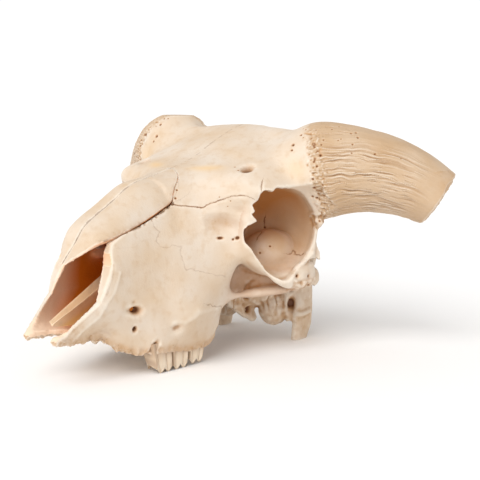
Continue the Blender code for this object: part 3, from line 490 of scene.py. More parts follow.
nasal = {
    "bone": (-46.0, 34.3, 90), "seat": (-46.0, 34.5, 70),  # first and last place along y, sections
    "bend": 2.2, "thick": 2.8, "tipThick": 0.45, "thickOver": 20.0, "mostOfWidth": 0.6,
    "play": 0.3, "lid": 8.0, "seatLid": 9.0, "lead": 6.0, "midGap": 0.12, "edgeGap": 0.1,
    "bow": (0.25, 4.0, 11.0),     # how far the outer edge draws in, where, and over what length
    "step": 0.5,                  # size of the facets, mm
    "swell": (0.5, 2.6),          # how far the left and the right bone bulge
    "lumps": [(0.12, 7, 31), (0.16, 19, 32)], "edgeLumps": (1.8, 51), "edgeWide": 1.2, "edgeRough": 0.22,
    "midWander": (4, 52), "midWide": 0.3, "midTone": 0.5, "outerWide": 0.5, "outerTone": 0.6,
}


def faceHalf(y):
    top, cx, cz, wx, wz = at(y, "roofZ", "cornerX", "cornerZ", "wallX", "wallZ")
    kx, kz, gx, gz, px, pz = at(y, "cheekX", "cheekZ", "marginX", "marginZ", "palateX", "palateZ")
    return [(0, top), (cx * 0.6, top - (top - cz) * 0.3), (cx, cz), (wx, wz), (kx, kz),
            (gx, gz + 1.5), (gx - 3, gz), (px + 1, gz + 2), (px - 3, pz), (0, pz)]


def browHalf(y):
    top, w, e = at(y, "roofZ", "browX", "browZ")
    top += 0.2  # stands out of the face, so that the two melt together
    deep = skull["browDepth"]
    return [(0, top), (w * 0.45, top - (top - e) * 0.12), (w * 0.8, top - (top - e) * 0.46), (w, e - 1.5),
            (w - 2, e - 7), (w * 0.6, e - deep * 0.55), (0, top - deep - 8)]


def bodyHalf(y):
    roof, drop, low, w = at(y, "roofZ", "bodyDrop", "bodyLow", "bodyX")
    top = roof - drop
    middle = low + (top - low) * 0.5
    return [(0, top), (w * 0.55, top - (top - middle) * 0.13), (w * 0.9, middle + (top - middle) * 0.46),
            (w, middle - 4), (w * 0.82, low + (middle - low) * 0.3), (w * 0.54, low + 1), (0, low)]


def occiputHalf(y, topX, topZ, wideX, wideZ, lowZ):
    return [(0, topZ), (topX, topZ - 4), (wideX * 0.98, wideZ + 18), (wideX, wideZ), (wideX * 0.6, lowZ + 1),
            (0, lowZ)]


def cavityHalf(y):
    roof, low, w, corner = at(y, "roofZ", "cavityLow", "cavityX", "cornerX")
    top = roof - skull["roofThick"]
    tall = top - low
    corner = min(w, corner - skull["cornerThick"])
    return [(0, top), (corner * 0.75, top - tall * 0.1), (corner * 1.02, top - tall * 0.3),
            (w, low + tall * 0.3), (w * 0.8, low + 1), (0, low)]


def throatHalf(y, w, top, low):
    return [(0, top), (w * 0.8, top - 3), (w, (top + low) / 2), (w, low), (0, low - 1)]


rimRadius = curve(skull["rim"])
rimTurns = np.arange(skull["orbitSides"]) * 360 / skull["orbitSides"]
rimJags = ((skull["jagLow"] + skull["jagMore"] * fall(np.abs(rimTurns - skull["jagAt"]), *skull["jagReach"]))
           * clouds(np.column_stack([rimTurns] * 3), skull["jags"]))


def orbitRing(depth, grow, shift, ragged):
    turn = skull["orbitTurn"]
    centre = Vector(skull["orbitCentre"])
    out = Vector((math.cos(turn), -math.sin(turn), 0))
    back = Vector((math.sin(turn), math.cos(turn), 0))
    ring = []
    for a, jag in zip(turns(skull["orbitSides"]), rimJags):
        corner = math.exp(-((a - skull["orbitCornerAt"]) / skull["orbitCornerWide"]) ** 2)
        plain = skull["orbitRadius"] + skull["orbitCorner"] * corner
        radius = (plain + (float(rimRadius(math.degrees(a))) - plain) * ragged) * grow + shift + jag * ragged
        ring.append(tuple(centre - out * depth + back * (radius * math.cos(a) + skull["orbitBackset"] * depth)
                          + Vector((0, 0, radius * math.sin(a)))))
    return ring


def hornAt(share):
    # place, heading and half sizes of the core at a share of its length, walked along the bend
    place = Vector(hornCore["root"])
    yaw, walk = hornCore["yaw"], hornCore["walk"]
    for i in range(walk + 1):
        rise = hornCore["rise"] - hornCore["bend"] * share * i / walk
        heading = Vector((math.cos(rise) * math.cos(yaw), math.cos(rise) * math.sin(yaw), math.sin(rise)))
        if i:
            place = place + heading * (hornCore["length"] * share / walk)
    height, depth = [first + (last - first) * share for first, last in (hornCore["height"], hornCore["depth"])]
    return place, heading, height, depth


def hornRing(place, heading, height, depth):
    side = Vector((0, 0, 1)).cross(heading).normalized()
    up = heading.cross(side)
    return [tuple(place + up * (height * math.sin(a)) + side * (depth * math.cos(a)))
            for a in turns(hornCore["sides"])]


def hornForm():
    root, heading, height, depth = hornAt(0.0)
    rings = [hornRing(root - heading * (hornCore["pedicle"] * t), heading,
                      height * (1 - hornCore["pedicleSink"] * t), depth * (1 - hornCore["pedicleTaper"] * t))
             for t in hornCore["pedicleSteps"]]
    return loft("horn", rings + [hornRing(*hornAt(t)) for t in steps(0.0, 1.0, hornCore["rings"])])


def openingForm():
    # everything in front of and above the rim of the nose
    rim, far, front = skull["openingRim"], skull["clear"], skull["openingFront"]
    back = rim[-1][0] + 4
    over = [(back, rim[-1][1] + 1.4), (back, far), (front, far)]
    return prism("opening", [(front, rim[0][1] - 0.6)] + rim + over, -far, far)


def notchForm():
    outline = skull["notch"] + [(-x, y) for x, y in reversed(skull["notch"][:-1])]
    return loft("notch", [[(x, y, z) for x, y in outline] for z in skull["notchZ"]])


def nasalArch(y, first, last, depth, count):
    # points across the arched back of the nose, depth below its face
    top, half, edge = at(y, "roofZ", "nasalX", "nasalEdgeZ")
    bend = nasal["bend"]
    points = []
    for x in steps(first, last, count):
        share = abs(x) / half
        slope = -math.copysign(bend * (top - edge) / half * share ** (bend - 1), x)
        size = math.sqrt(1 + slope * slope)
        points.append((x + depth * slope / size, y, top - (top - edge) * share ** bend - depth / size))
    return points


def nasalDepth(y):
    thin = nasal["tipThick"] + (y - nasal["bone"][0]) / nasal["thickOver"]
    return min(nasal["thick"] * min(1.0, thin), at(y, "nasalX") * nasal["mostOfWidth"])


def nasalSeat():
    # cutter for the bed of the nasal bones, a little larger than they are
    play = nasal["play"]
    rings = []
    for y in steps(*nasal["seat"]):
        reach = at(y, "nasalX") + play
        edges = nasalArch(y, -reach, reach, 0.0, 2)
        under = nasalArch(y, -reach, reach, nasalDepth(y) + play, 31)
        lid = at(y, "roofZ") + nasal["seatLid"]
        rings.append([(-reach, y, lid), (reach, y, lid), edges[1]] + list(reversed(under)) + [edges[0]])
    rings.insert(0, [(x, y - nasal["lead"], z) for x, y, z in rings[0]])
    rings.append([(x, y + play, z) for x, y, z in rings[-1]])
    return loft("nasalSeat", rings)


def socketPlace(q):
    # depth below the rim of the orbit on the left, and distance from its axis
    turn = skull["orbitTurn"]
    out = np.array([math.cos(turn), -math.sin(turn), 0])
    off = q - np.array(skull["orbitCentre"])
    depth = -off @ out
    return depth, np.linalg.norm(off + depth[:, None] * out, axis=1)


def hornShare(co, side):
    # how far each point lies beyond the plane where the horn core leaves the brow
    rise, yaw = hornCore["rise"], hornCore["yaw"]
    way = np.array([side * math.cos(rise) * math.cos(yaw), math.cos(rise) * math.sin(yaw), math.sin(rise)])
    return (co - np.array(hornCore["root"]) * (side, 1, 1)) @ way - hornCore["cutOffset"]


# soft boxes on the left side, as axis, where the edge is full and where it has faded out, mm
regions = {
    "hornRoot": [("z", 82, 74)],
    "orbitRim": [("x", 30, 24), ("y", 28, 21), ("y", 48, 55), ("z", 62, 52), ("z", 94, 104)],
    "cheek": [("x", 24, 20), ("y", 34, 24), ("y", 54, 64), ("z", 30, 21), ("z", 60, 69)],
    "cheekHollow": [("x", 24, 20), ("y", 40, 32), ("y", 56, 64), ("z", 36, 30), ("z", 50, 56)],
    "base": [("x", 34, 42), ("y", 66, 56), ("y", 106, 112), ("z", 44, 62)],
    "ribbed": [("y", 104, 108), ("z", 24, 18)],
    "jawTip": [("y", -56, -44), ("z", 30, 44)],
    "nape": [("y", 126, 116)],
    "earRoot": [("y", 106, 102), ("z", 44, 50)],
    "jawJoint": [("x", 52, 50), ("y", 75, 71), ("y", 93, 97), ("z", 37.5, 35), ("z", 44.5, 47)],
    "nasalGap": [("y", -6, -22)],
    "orbitLip": [("y", 74, 62), ("z", 64, 56)],
    "underArch": [("y", 56, 36), ("y", 74, 90), ("z", 36.5, 27.5), ("z", 48.5, 57.5)],
}
# soft spots on the left side: middle and squared reach
blobs = {
    "fossaShade": ((39, 37, 80.5), (60, 60, 24)), "curl": ((18, -3.5, 63.5), (16, 40, 20)),
    "rightBrow": ((55, 49, 100), 150), "tan": ((62, 74, 110), 60),
}


def easeForms(obj):
    # fair the brow into each horn core, and the cheek into the rim of the orbit and the arch
    co = readPoints(obj.data)
    q, = folded(co)
    root = np.maximum(*[fall(np.abs(hornShare(co, side) + 13), 9, 20) for side in (1, -1)])
    root = root * softBox(q, regions["hornRoot"])
    rim, cheek = softBox(q, regions["orbitRim"]), softBox(q, regions["cheek"])
    ease(obj, np.maximum(root, 0.8 * cheek), 90)
    ease(obj, np.maximum(root, np.maximum(rim, 0.6 * cheek)), 110)


def makeBone():
    # every form melted into one skin, then hollowed; also the uncut skin, for the nasal bones
    forms = [shell(name, half, [(y,) for y in steps(*skull[name])])
             for name, half in (("face", faceHalf), ("brow", browHalf), ("body", bodyHalf))]
    forms.append(shell("occiput", occiputHalf, track(skull["occiput"], 24)))
    paired = [loft("funnel", [orbitRing(*s) for s in track(skull["funnel"], 24)])]
    paired += [make(name, skull[name], count) for name, make, count in (
        ("arch", routed, 60), ("web", routed, 60), ("lip", routed, 60), ("bar", upright, 40),
        ("condyle", routed, 30), ("paraoccipital", upright, 40), ("earTube", routed, 20))]
    paired += [prism("pterygoid", skull["pterygoid"], *skull["pterygoidX"]), hornForm()]
    for form in paired:
        forms += bothSides(form)
    bone = joinForms("cranium", forms)
    melt(bone, skull["formStep"], 3)
    easeForms(bone)
    uncut = newObject("uncut", bone.data.copy())
    cutters = [shell("cavity", cavityHalf, [(y,) for y in steps(*skull["cavity"])]), openingForm(), notchForm(),
               shell("throat", throatHalf, track(skull["throat"], 30)), routed("foramen", skull["foramen"], 24),
               ball("brainCase", *skull["brainCase"])]
    hollow = loft("hollow", [orbitRing(*s) for s in track(skull["hollow"], 60)])
    for cutter in (hollow, upright("temple", skull["temple"])):
        cutters += bothSides(cutter)
    for cutter in cutters:
        cutOne(bone, cutter)
    forms = [bone]
    for form in [ball(*b) for b in skull["swellings"]] + [routed(*r) for r in skull["processes"]]:
        forms += bothSides(form)
    bone = joinForms("cranium", forms)
    melt(bone, skull["skinStep"], 2)
    q, = folded(readPoints(bone.data))
    depth, off = socketPlace(q)
    ease(bone, fall(depth, 10, 5) * fall(off, 25, 28) * (depth < 45), 120)  # floor of the orbit
    q, = folded(readPoints(bone.data))
    ease(bone, softBox(q, regions["cheekHollow"]), 70)
    cutOne(bone, nasalSeat())
    keepLargest(bone)
    return bone, uncut


bone, uncut = makeBone()
print("bone skinned:", len(bone.data.vertices), "points")

# sutures, holes, dents and ridges of the bone, on the left side and mirrored
marks = {
    "far": 99.0, "noSeam": 9.0, "seamReach": 4,  # mm: too far to matter, no suture near, reach of a suture
    "fade": 1.2, "fadeEnd": 2.4, "facing": -0.1,  # how a spot fades, its end in radii, how far round it goes
    "fineShare": 1.5, "fineMore": 1.6,  # finer facets within this many radii and mm of a hole
    "holeFlat": 1.5, "holeDark": 1.7, "poreDepth": 1.1, "poreDark": 1.3,
    "seamDepth": 0.4, "seamSlope": 0.5, "seamSway": [(1, 3.2, 11), (0.5, 1.5, 12)],
    # points, half width of the dark line in mm, how far it wanders, how dark it is
    "seams": [
        ([(0.2, y, at(y, "roofZ")) for y in range(33, 102, 2)], 0.16, 0.5, 0.3),
        ([(18.9, 15.1, 91.8), (19.5, 16.7, 91.5), (21.4, 19.6, 90.8), (23.6, 22.9, 90.4), (26.4, 26.8, 89.7),
            (29.4, 30.4, 89), (31.3, 32.8, 90.9), (34.6, 35.5, 92.8), (39.3, 38.7, 94.6), (42.4, 40.4, 95.8),
            (46.9, 42.9, 96.3), (50.3, 45, 96.1), (52.7, 47.3, 94.5)], 0.2, 0.5, 0.9),
        ([(19, 1.1, 84.2), (21.1, 2.1, 80.7), (23.1, 4.2, 77.8), (24.3, 1.1, 73.2), (25.7, 2.4, 70.3),
            (27, 5.7, 68.9), (27.8, 10.4, 70.2), (29.3, 14.4, 69.3), (30.5, 12.8, 64.1), (31.8, 13.6, 60.2),
            (33.2, 14.5, 56.1), (33.9, 17.7, 57.1), (36.3, 24.2, 54.3), (38.3, 30.7, 52),
            (39.9, 38.8, 50)], 0.2, 0.9, 0.22),
        ([(37.9, 25.3, 35.7), (37.4, 30, 34), (36.5, 35.8, 33.3), (34, 43.2, 30.7)], 0.2, 1.4, 0.4),
        ([(55.5, 51.4, 99.4), (54.7, 52.2, 101.6), (53.8, 54.1, 103.9)], 0.2, 0.3, 0.9),
        ([(27.3, 87.5, 79.5), (26.8, 87.2, 75), (26.7, 87, 71.5)], 0.3, 0.5, 0.9),
        ([(35.5, 74, 72), (36.8, 72.6, 71.5), (38, 67.6, 68.5)], 0.25, 0.5, 0.7),
        ([(47, 80, 60), (50.5, 81, 60), (50.7, 85.4, 60.1), (53.1, 87, 59),
            (57.7, 86.9, 60.1)], 0.25, 1.4, 0.6),
        ([(56.5, 76.5, 41.5), (58.5, 79.5, 40), (60, 84, 42), (61, 88, 40.5), (61, 93, 42)], 0.35, 1.4, 0.9),
        ([(0.2, 101, 133.8), (10, 101, 133.5), (20, 100.5, 132.5), (32, 101, 130), (38, 104, 116),
            (36, 103, 100)], 0.16, 1.2, 0.6),
        ([(0.2, 127, 104), (12, 126, 101), (24, 124, 97), (32, 122, 86), (35, 119, 66),
            (35, 112, 60)], 0.2, 1.2, 0.7),
        ([(0.2, 24 - 18 * t, 20) for t in np.linspace(0, 4, 12)], 0.15, 0.5, 0.7),
        ([(0.5, 12, 20), (8, 12.5, 20), (16, 14, 19.5)], 0.16, 1, 0.7),
    ],
    # place, radius, depth, long direction, how much longer
    "holes": [
        ((26, -16.9, 37.2), 2, 4.6, (0, 1, -0.1), 1.4), ((25, -17.3, 26.7), 1.1, 2.8, (0, 0.2, 1), 1.35),
        ((42.3, 54, 110.5), 2.4, 7, (0.35, 0.85, 0.3), 1.2),
        ((38.9, 35.6, 72.5), 0.75, 1.3, (0.5, 0.8, 0), 2.2),
        ((45.4, 42, 72.4), 0.9, 1.5, (0.5, 0.8, 0.2), 1.4), ((43.4, 40.9, 71.5), 0.6, 0.9, (0, 1, 0), 1),
        ((29, -6.9, 14.6), 1.5, 3.6, (0.1, 0.5, 1), 2.6), ((17.5, 81.1, 27.9), 1.3, 3.5, (0, 0.5, -0.8), 3),
        ((14.7, 87, 20), 1.8, 3.5, (0, 1, 0.2), 1.2), ((30, 108.5, 23.5), 2, 4, (0, 0.2, 1), 1.9),
        ((20, 120, 34), 2.2, 4, (1, 0, 0), 1.3), ((9.5, 20, 20.5), 1.5, 3, (0, 1, 0), 1.6),
    ],
    # place, radius; small pores, painted dark inside as painted shade
    "pores": [
        ((35.3, 51.5, 111.6), 0.5), ((39, 50.2, 109.3), 0.55), ((36.6, 37.4, 95.4), 0.35),
        ((42.4, 40.1, 93.2), 0.35), ((40.4, 39.7, 90.1), 0.3), ((73, 84.5, 128.6), 0.5),
        ((73, 82.6, 125.8), 0.5), ((74.4, 80, 119.6), 1), ((73.7, 77.7, 113), 0.75),
        ((71.8, 76.3, 105.3), 0.75), ((70, 80.4, 99.5), 1), ((66.3, 83.8, 94.3), 0.7),
        ((68.1, 85.2, 93.6), 0.9), ((82.4, 97.8, 132.1), 0.6), ((83.9, 100.2, 132.4), 0.6),
        ((86.9, 98.3, 129.7), 0.7), ((86.7, 93.5, 125.8), 0.55), ((87.9, 91, 120.8), 0.5),
        ((97.9, 99.6, 120.5), 0.6), ((108.9, 109.2, 117.7), 0.45), ((73.7, 98, 135.9), 0.5),
        ((72.7, 92.8, 134.3), 0.5), ((65.6, 87.1, 134.1), 0.5), ((79.5, 89.5, 128), 0.4),
        ((80.4, 91.1, 128.9), 0.4), ((26.8, 87.4, 72.5), 0.8), ((46.2, 69.7, 65), 0.7),
        ((42.7, 64.9, 61.1), 0.7), ((18.2, 22, 99), 0.6), ((19.6, 19.4, 94.8), 0.7),
        ((58.4, 86.2, 134.4), 0.6), ((55.8, 87.5, 134.6), 0.5), ((58.1, 82.3, 131.2), 0.8),
        ((60.9, 80.9, 129.9), 0.45), ((56.5, 77.2, 124.7), 1), ((57.2, 75.4, 121.2), 0.7),
        ((2.2, 32.5, 108.2), 0.4), ((64.2, 92.3, 79.3), 0.6), ((61, 86.5, 41.6), 0.8),
        ((62.3, 75.8, 48.3), 1.1), ((63.7, 85.2, 47.2), 0.9), ((60, 82, 40.5), 0.7),
    ],
    # place, radius, depth (less than 0 stands out), long direction, how much longer
    "dents": [
        ((39, 37.5, 81), 6.5, 2.4, (0.6, 0.75, -0.15), 1.5), ((25.2, -20.6, 37.8), 1.9, 1.2, (0, -1, 0.1), 1.7),
        ((25.8, -18.1, 42.4), 1.6, 0.5, (0, 1, 0), 1.3), ((33.6, 5.7, 24.9), 2.6, 1.5, (0, 1, 0.4), 1.4),
        ((18.6, -35.7, 25.5), 6.5, 3, (0, 1, 0), 1.7), ((62.3, 75.8, 48.3), 1.9, 0.8, (0, 0.4, 1), 1.3),
        ((63.7, 85.2, 47.2), 1.5, 0.7, (0, 1, 0), 1.2), ((63.5, 75, 113), 6.5, 0.9, (0.2, 0.2, 1), 1.5),
        ((37, 17, 33), 6, -1.1, (0, 1, 0.2), 1.5), ((30, -2, 52), 16, 0.9, (0, 0, 1), 1.2),
        ((24, 4, 76), 9, 0.8, (0, 1, 0.3), 1.6), ((48, 62, 106), 12, -0.7, (0, 1, 0), 1.3),
        ((0, 62, 119), 14, 0.8, (0, 1, 0.3), 2), ((34, 60, 113), 9, 0.5, (0, 1, 0.3), 1.6),
        ((36.5, 112, 22), 5, -1.2, (0, 0, 1), 1.5), ((37, 116, 10), 5.5, 0.9, (0, 0, 1), 1.3),
        ((12, 133, 86), 8, 1, (1, 0, 0), 1.2),
    ],
    # points, half width, height (less than 0 is a groove)
    "ridges": [
        ([(31.8, 29, 79), (30.6, 28.8, 83.5), (32.2, 31.6, 86.6), (35, 34.8, 87.4), (39, 38.6, 87),
            (43, 42.2, 85.8), (47, 44.8, 83.8)], 2.6, 0.55),
        ([(33.6, 4.7, 27.9), (35.2, 9.8, 27.9), (36.8, 14.8, 30), (37.5, 18.6, 32.6), (37.5, 25.8, 32.4),
            (36.3, 34.4, 31.8)], 2.4, 0.5),
        ([(56, 69, 50.4), (59.3, 77.6, 52.8), (61.5, 83, 56), (62.7, 88.1, 60.5)], 1.2, 1.3),
        ([(29, 116, 60), (32, 121, 80), (26, 123.5, 95), (14, 125.5, 102), (0, 126.5, 104)], 2.2, 1.6),
        ([(34.5, 104.5, 17.5), (36.5, 112, 16.5), (36.3, 120, 17.5)], 1.5, 1.5),
        ([(24, -26.5, 59), (24.4, -27.5, 56.3), (24.3, -31.1, 48.8), (23.2, -35.1, 43.9), (21.3, -39.1, 36.8),
            (18.7, -45.9, 31.6), (15.6, -52.1, 25.3)], 1.3, 0.35),
        ([(22.2, -29.5, 63), (23.4, -31, 57), (22.9, -35, 48.5), (20.9, -40.4, 41), (18, -48, 34.5),
            (15.6, -55, 28.8)], 0.8, -0.4),
        ([(0, 108, 24), (0, 98, 22), (0, 84, 26)], 2, 0.8),
    ],
}

nasalEdge = [(x, y, z) for y in steps(-29.0, 33.0, 40) for x, z in [at(y, "nasalX", "nasalEdgeZ")]]
marks["seams"].append((nasalEdge, 0.5, 0.35, 0.6))


def segmentDistance(co, normals, points, reach):
    # signed distance on the surface to a chain of points, for the points within reach of it
    pts = np.array(points, float)
    best = np.full(len(co), marks["far"], float)
    near = np.nonzero(((co > pts.min(0) - reach) & (co < pts.max(0) + reach)).all(1))[0]
    sub, flat, sign = co[near], np.full(len(near), marks["far"], float), np.ones(len(near))
    for a, b in zip(pts[:-1], pts[1:]):
        along = b - a
        t = np.clip(((sub - a) @ along) / (along @ along), 0, 1)
        off = sub - a - t[:, None] * along
        gap = np.linalg.norm(off, axis=1)
        closer = gap < flat
        side = np.einsum("ij,ij->i", np.cross(normals[near], along), off)
        sign[closer] = np.where(side[closer] < 0, -1.0, 1.0)
        flat[closer] = gap[closer]
    best[near] = flat * sign
    return best


def spot(q, n, place, radius, way=(0, 0, 1), longer=1.0):
    # 1 at the skin nearest the place, fading with the distance, only on skin that faces the same way
    nearest = ((q - np.array(place, float)) ** 2).sum(1).argmin()
    off = q - q[nearest]
    way = np.array(way, float) / np.linalg.norm(way)
    off -= np.outer(off @ way, way) * (1 - 1 / longer)
    gap = np.linalg.norm(off, axis=1) / radius
    return np.exp(-gap ** 2 * marks["fade"]) * (gap < marks["fadeEnd"]) * (n @ n[nearest] > marks["facing"])


def deepen(masks, name, values, where=slice(None)):
    masks[name][where] = np.maximum(masks[name][where], values)


def hornPlace(co, side):
    # along the core in mm, and turn round it in radians, for points near it
    shares = np.linspace(-0.05, 1.05, 70)
    spots = [hornAt(t) for t in shares]
    axis, heads = [np.array([tuple(s[k]) for s in spots]) * (side, 1, 1) for k in (0, 1)]
    i = (((co[:, None, :] - axis[None]) ** 2).sum(2)).argmin(1)
    out = np.cross(np.array([0, 0, 1.0]), heads[i])
    out /= np.linalg.norm(out, axis=1)[:, None]
    up = np.cross(heads[i], out)
    off = co - axis[i]
    turn = np.arctan2(np.einsum("ij,ij->i", off, up), np.einsum("ij,ij->i", off, out))
    return shares[i] * hornCore["length"], turn


def finePlaces(co):
    # where the facets are halved: holes, pores, horn cores and the edge with the teeth
    q, = folded(co)
    near = (q[:, 1] < 45) & (q[:, 2] < line["marginZ"](q[:, 1]) + 4)
    for place, radius, *_ in marks["holes"] + marks["pores"]:
        near |= np.linalg.norm(q - np.array(place), axis=1) < radius * marks["fineShare"] + marks["fineMore"]
    for side in (1, -1):
        near |= (hornShare(co, side) > -4) & (co[:, 0] * side > 40) & (co[:, 2] > hornGrain["above"])
    return near


def refine(mesh, near):
    rework(mesh, lambda bm: bmesh.ops.subdivide_edges(
        bm, edges=[e for e in bm.edges if near[e.verts[0].index] and near[e.verts[1].index]], cuts=1,
        use_grid_fill=True))


def carveSpots(q, n, lift, masks):
    for place, radius, depth, way, longer in marks["dents"]:
        lift -= depth * spot(q, n, place, radius, way, longer)
    for points, wide, height in marks["ridges"]:
        gap = np.abs(segmentDistance(q, n, points, wide * 3))
        lift += height * np.exp(-(gap / wide) ** 2)
    # holes and pores: carved, with painted shade inside them through the pit mask
    for place, radius, depth, way, longer in marks["holes"]:
        mask = spot(q, n, place, radius, way, longer)
        lift -= depth * np.clip(mask * marks["holeFlat"], 0, 1)
        deepen(masks, "pit", np.clip(mask * marks["holeDark"], 0, 1))
    for place, radius in marks["pores"]:
        mask = spot(q, n, place, radius)
        lift -= marks["poreDepth"] * radius * mask
        deepen(masks, "pit", np.clip(mask * marks["poreDark"], 0, 1))


def carveSeams(co, q, n, lift, masks):
    seam, wide, tone = [np.full(len(co), start, float) for start in (marks["noSeam"], 0.2, 0)]
    sway = clouds(co, marks["seamSway"])
    for points, width, wander, dark in marks["seams"]:
        gap = segmentDistance(q, n, points, marks["seamReach"]) + wander * sway
        closer = np.abs(gap) < np.abs(seam)
        seam[closer], wide[closer], tone[closer] = gap[closer], width, dark
    lift -= marks["seamDepth"] * np.exp(-(seam / marks["seamSlope"]) ** 2) * tone
    masks.update(seam=seam, seamWide=wide, seamTone=tone)


hornGrain = {
    "from": -8, "out": 38, "above": 74,   # the skin of a core: how far before its root, how far out and up, mm
    "girth": 24, "slant": 5.3, "apart": 7.3,   # mm round the core for each radian, stagger of the furrows' ends
    "sway": [(1.3, 9, 3), (0.5, 4, 4)],
    # furrows as share, size in mm and seed; where they fade: at the root, at the end and round to the top
    "furrows": [(1.0, (1.5, 13, 3), 21), (0.8, (1.1, 8, 3), 28), (0.8, (0.8, 6, 3), 22)],
    # furrowTone, dashTone and crumbTone: painted shade in the furrows, in the dashes and in the dips of the
    # crumbly collar
    "furrowDepth": 0.62, "furrowTone": 0.55, "furrowCut": (-2, 0.2),
    "rootFade": (-2, -5), "endFade": (50, 74), "topFade": (0.25, 0.95), "lowSide": (0.15, 0.85),
    "rough": (8, 23), "roughShare": (0.45, 0.75), "swells": [(0.3, (4.5, 24, 5), 24)],
    "dashes": ((0.9, 3.2, 3), 30), "dashFrom": (14, 34), "dashDepth": 0.4, "dashTone": 0.42,
    "sawn": [(0.5, 1.6, 29)], "sawnDepth": 0.5, "sawnHollow": 3.2,   # the broken end, spongy and hollowed
    "ragged": [(1.6, 3.0, 25)], "collar": (2.2, 6.0),
    "crumbs": [(1.0, 2.0, 26), (0.5, 1.1, 27)], "crumbHigh": 0.75, "crumbTone": 0.8,
    "rootStep": 0.45,   # how far the core stands out from the brow, mm
}


def carveHorn(side, co, normals, lift, masks):
    # long furrows, strongest on the lower two thirds, that fade towards the end; a crumbly collar at the root;
    # painted shade darkens the furrows, the dashes and the dips of the collar
    g = hornGrain
    share = hornShare(co, side)
    mine = np.nonzero((share > g["from"]) & (co[:, 0] * side > g["out"]) & (co[:, 2] > g["above"]))[0]
    skin, share = co[mine], share[mine]
    along, turn = hornPlace(skin, side)
    across = turn * g["girth"] + clouds(skin, g["sway"])
    grid = np.column_stack([across, along + g["slant"] * across, np.full(len(mine), side * g["apart"])])
    steep, least = g["furrowCut"]
    cut = sum(part * np.clip(steep * cloud(grid, size, seed) - least, 0, 1)
              for part, size, seed in g["furrows"])
    up = np.sin(turn)
    ends = fall(share, *g["rootFade"]) * fall(along, *g["endFade"])
    rough = cloud(skin, *g["rough"]) * 0.5 + 0.5
    (low, more), (calm, rougher) = g["lowSide"], g["roughShare"]
    amount = ends * (low + more * fall(up, *g["topFade"])) * (calm + rougher * rough)
    dashes = (fall(cloud(grid, *g["dashes"]), -0.72, -0.5) * fall(along, *g["dashFrom"]) * ends
              * (0.3 + 0.7 * rough))
    place, heading, *_ = hornAt(1.0)
    end, head = [np.array(tuple(v)) * (side, 1, 1) for v in (place, heading)]
    fromEnd = along - hornCore["length"]
    sawn = fall(fromEnd, -1, -3) * fall(normals[mine] @ head, 0.8, 0.4)
    middle = np.linalg.norm(skin - end, axis=1)
    ragged = share + clouds(skin, g["ragged"])
    collar = fall(np.abs(ragged + 0.6), *g["collar"]) * fall(up, 0.75, 1.0)
    crumbs = np.clip(clouds(skin, g["crumbs"]), -1, 1)
    lift[mine] += clouds(grid, g["swells"]) * ends - g["furrowDepth"] * cut * amount - g["dashDepth"] * dashes
    lift[mine] -= sawn * (g["sawnHollow"] * fall(middle, 4, 15) + g["sawnDepth"] + clouds(skin, g["sawn"]))
    lift[mine] += g["crumbHigh"] * collar * crumbs
    lift[mine] += g["rootStep"] * fall(ragged, 1.0, -0.8) * fall(up, 0.0, 0.9)
    # painted shade in the dashes and in the dips of the collar, through the pit mask
    deepen(masks, "pit", g["dashTone"] * dashes, mine)
    deepen(masks, "pit", g["crumbTone"] * collar * fall(crumbs, -0.62, -0.4), mine)
    deepen(masks, "ring", sawn, mine)
    deepen(masks, "ring", fall(np.abs(share - 2), 1, 9), mine)
    deepen(masks, "core", fall(ragged, -2.2, -4.6), mine)
    # painted shade in the furrows, deeper where they are cut deeper
    masks["groove"][mine] = np.clip(g["furrowTone"] * cut * amount, 0, 1)


rawBone = {
    "all": [(0.16, 7, 31), (0.30, 19, 32)], "raw": [(0.42, 2.4, 33), (0.35, 4.8, 34)],
    "knob": [(0.9, 2.2, 38)], "joint": [(0.9, 2.6, 37)], "edge": (1.7, 36), "ribs": ((6, 4.2, 12), 35),
    "ribDepth": 0.7, "ribWide": 0.2, "knobReach": (5, 8),
    "jags": [(1.0, (2.1, 9, 9), 41)], "jagsFine": [(0.6, 1.3, 42)], "jagHigh": (0.55, 0.75),
}


def roughen(co, q, n, lift, masks):
    # gentle unevenness all over; rough bone along the tooth row, jaw tips and base
    r, (x, y, z) = rawBone, q.T
    part = {name: softBox(q, edges) for name, edges in regions.items()}
    alveolar = fall(z - line["marginZ"](y), 1.5, 6) * (y < 46) * (z < 34)
    knob = fall(np.linalg.norm(q - skull["swellings"][3][1], axis=1), *r["knobReach"])
    for share, mask in ((1, alveolar), (0.75, part["base"]), (0.8, part["jawTip"]),
                        (0.5, part["nape"] * (z < 110)), (1, knob), (0.35, part["earRoot"] * (x > 20)),
                        (1, part["jawJoint"])):
        deepen(masks, "raw", share * mask)
    lift += clouds(co, r["all"]) + knob * clouds(co, r["knob"]) + part["jawJoint"] * clouds(co, r["joint"])
    lift += masks["raw"] * clouds(co, r["raw"])
    gapEdge = fall(np.abs(segmentDistance(q, n, nasalEdge[:30], 5)), 0.6, 2.6) * part["nasalGap"]
    lift += gapEdge * 0.5 * (cloud(co, *r["edge"]) - 0.3)
    ribs = np.exp(-(cloud(co, *r["ribs"]) / r["ribWide"]) ** 2)
    lift -= r["ribDepth"] * ribs * part["base"] * (x > 12) * part["ribbed"]


def settle(co, q, moved):
    # what differs between the sides, and the jagged edge with the teeth
    y, z = q[:, 1], q[:, 2]
    moved += (blob(q, *blobs["rightBrow"]) * (co[:, 0] < 0))[:, None] * np.array(skull["rightBrow"])
    for side, rise, high in ((1, -skull["leftDrop"], np.clip((z - 95) / 38, 0, 1)),
                             (-1, skull["lean"], fall(z, 90, 60))):
        moved[:, 2] += rise * fall(hornShare(co, side), -2, -22) * high * (co[:, 0] * side > 30)
    low, more = rawBone["jagHigh"]
    ragged = clouds(np.column_stack([y, y * 0, y * 0]), rawBone["jags"]) + clouds(co, rawBone["jagsFine"])
    edge = fall(z - line["marginZ"](y), 0.5, 5) * (y < 44) * (z < 32)
    moved[:, 2] += (low + more * fall(y, -24, -14)) * ragged * edge
    return moved


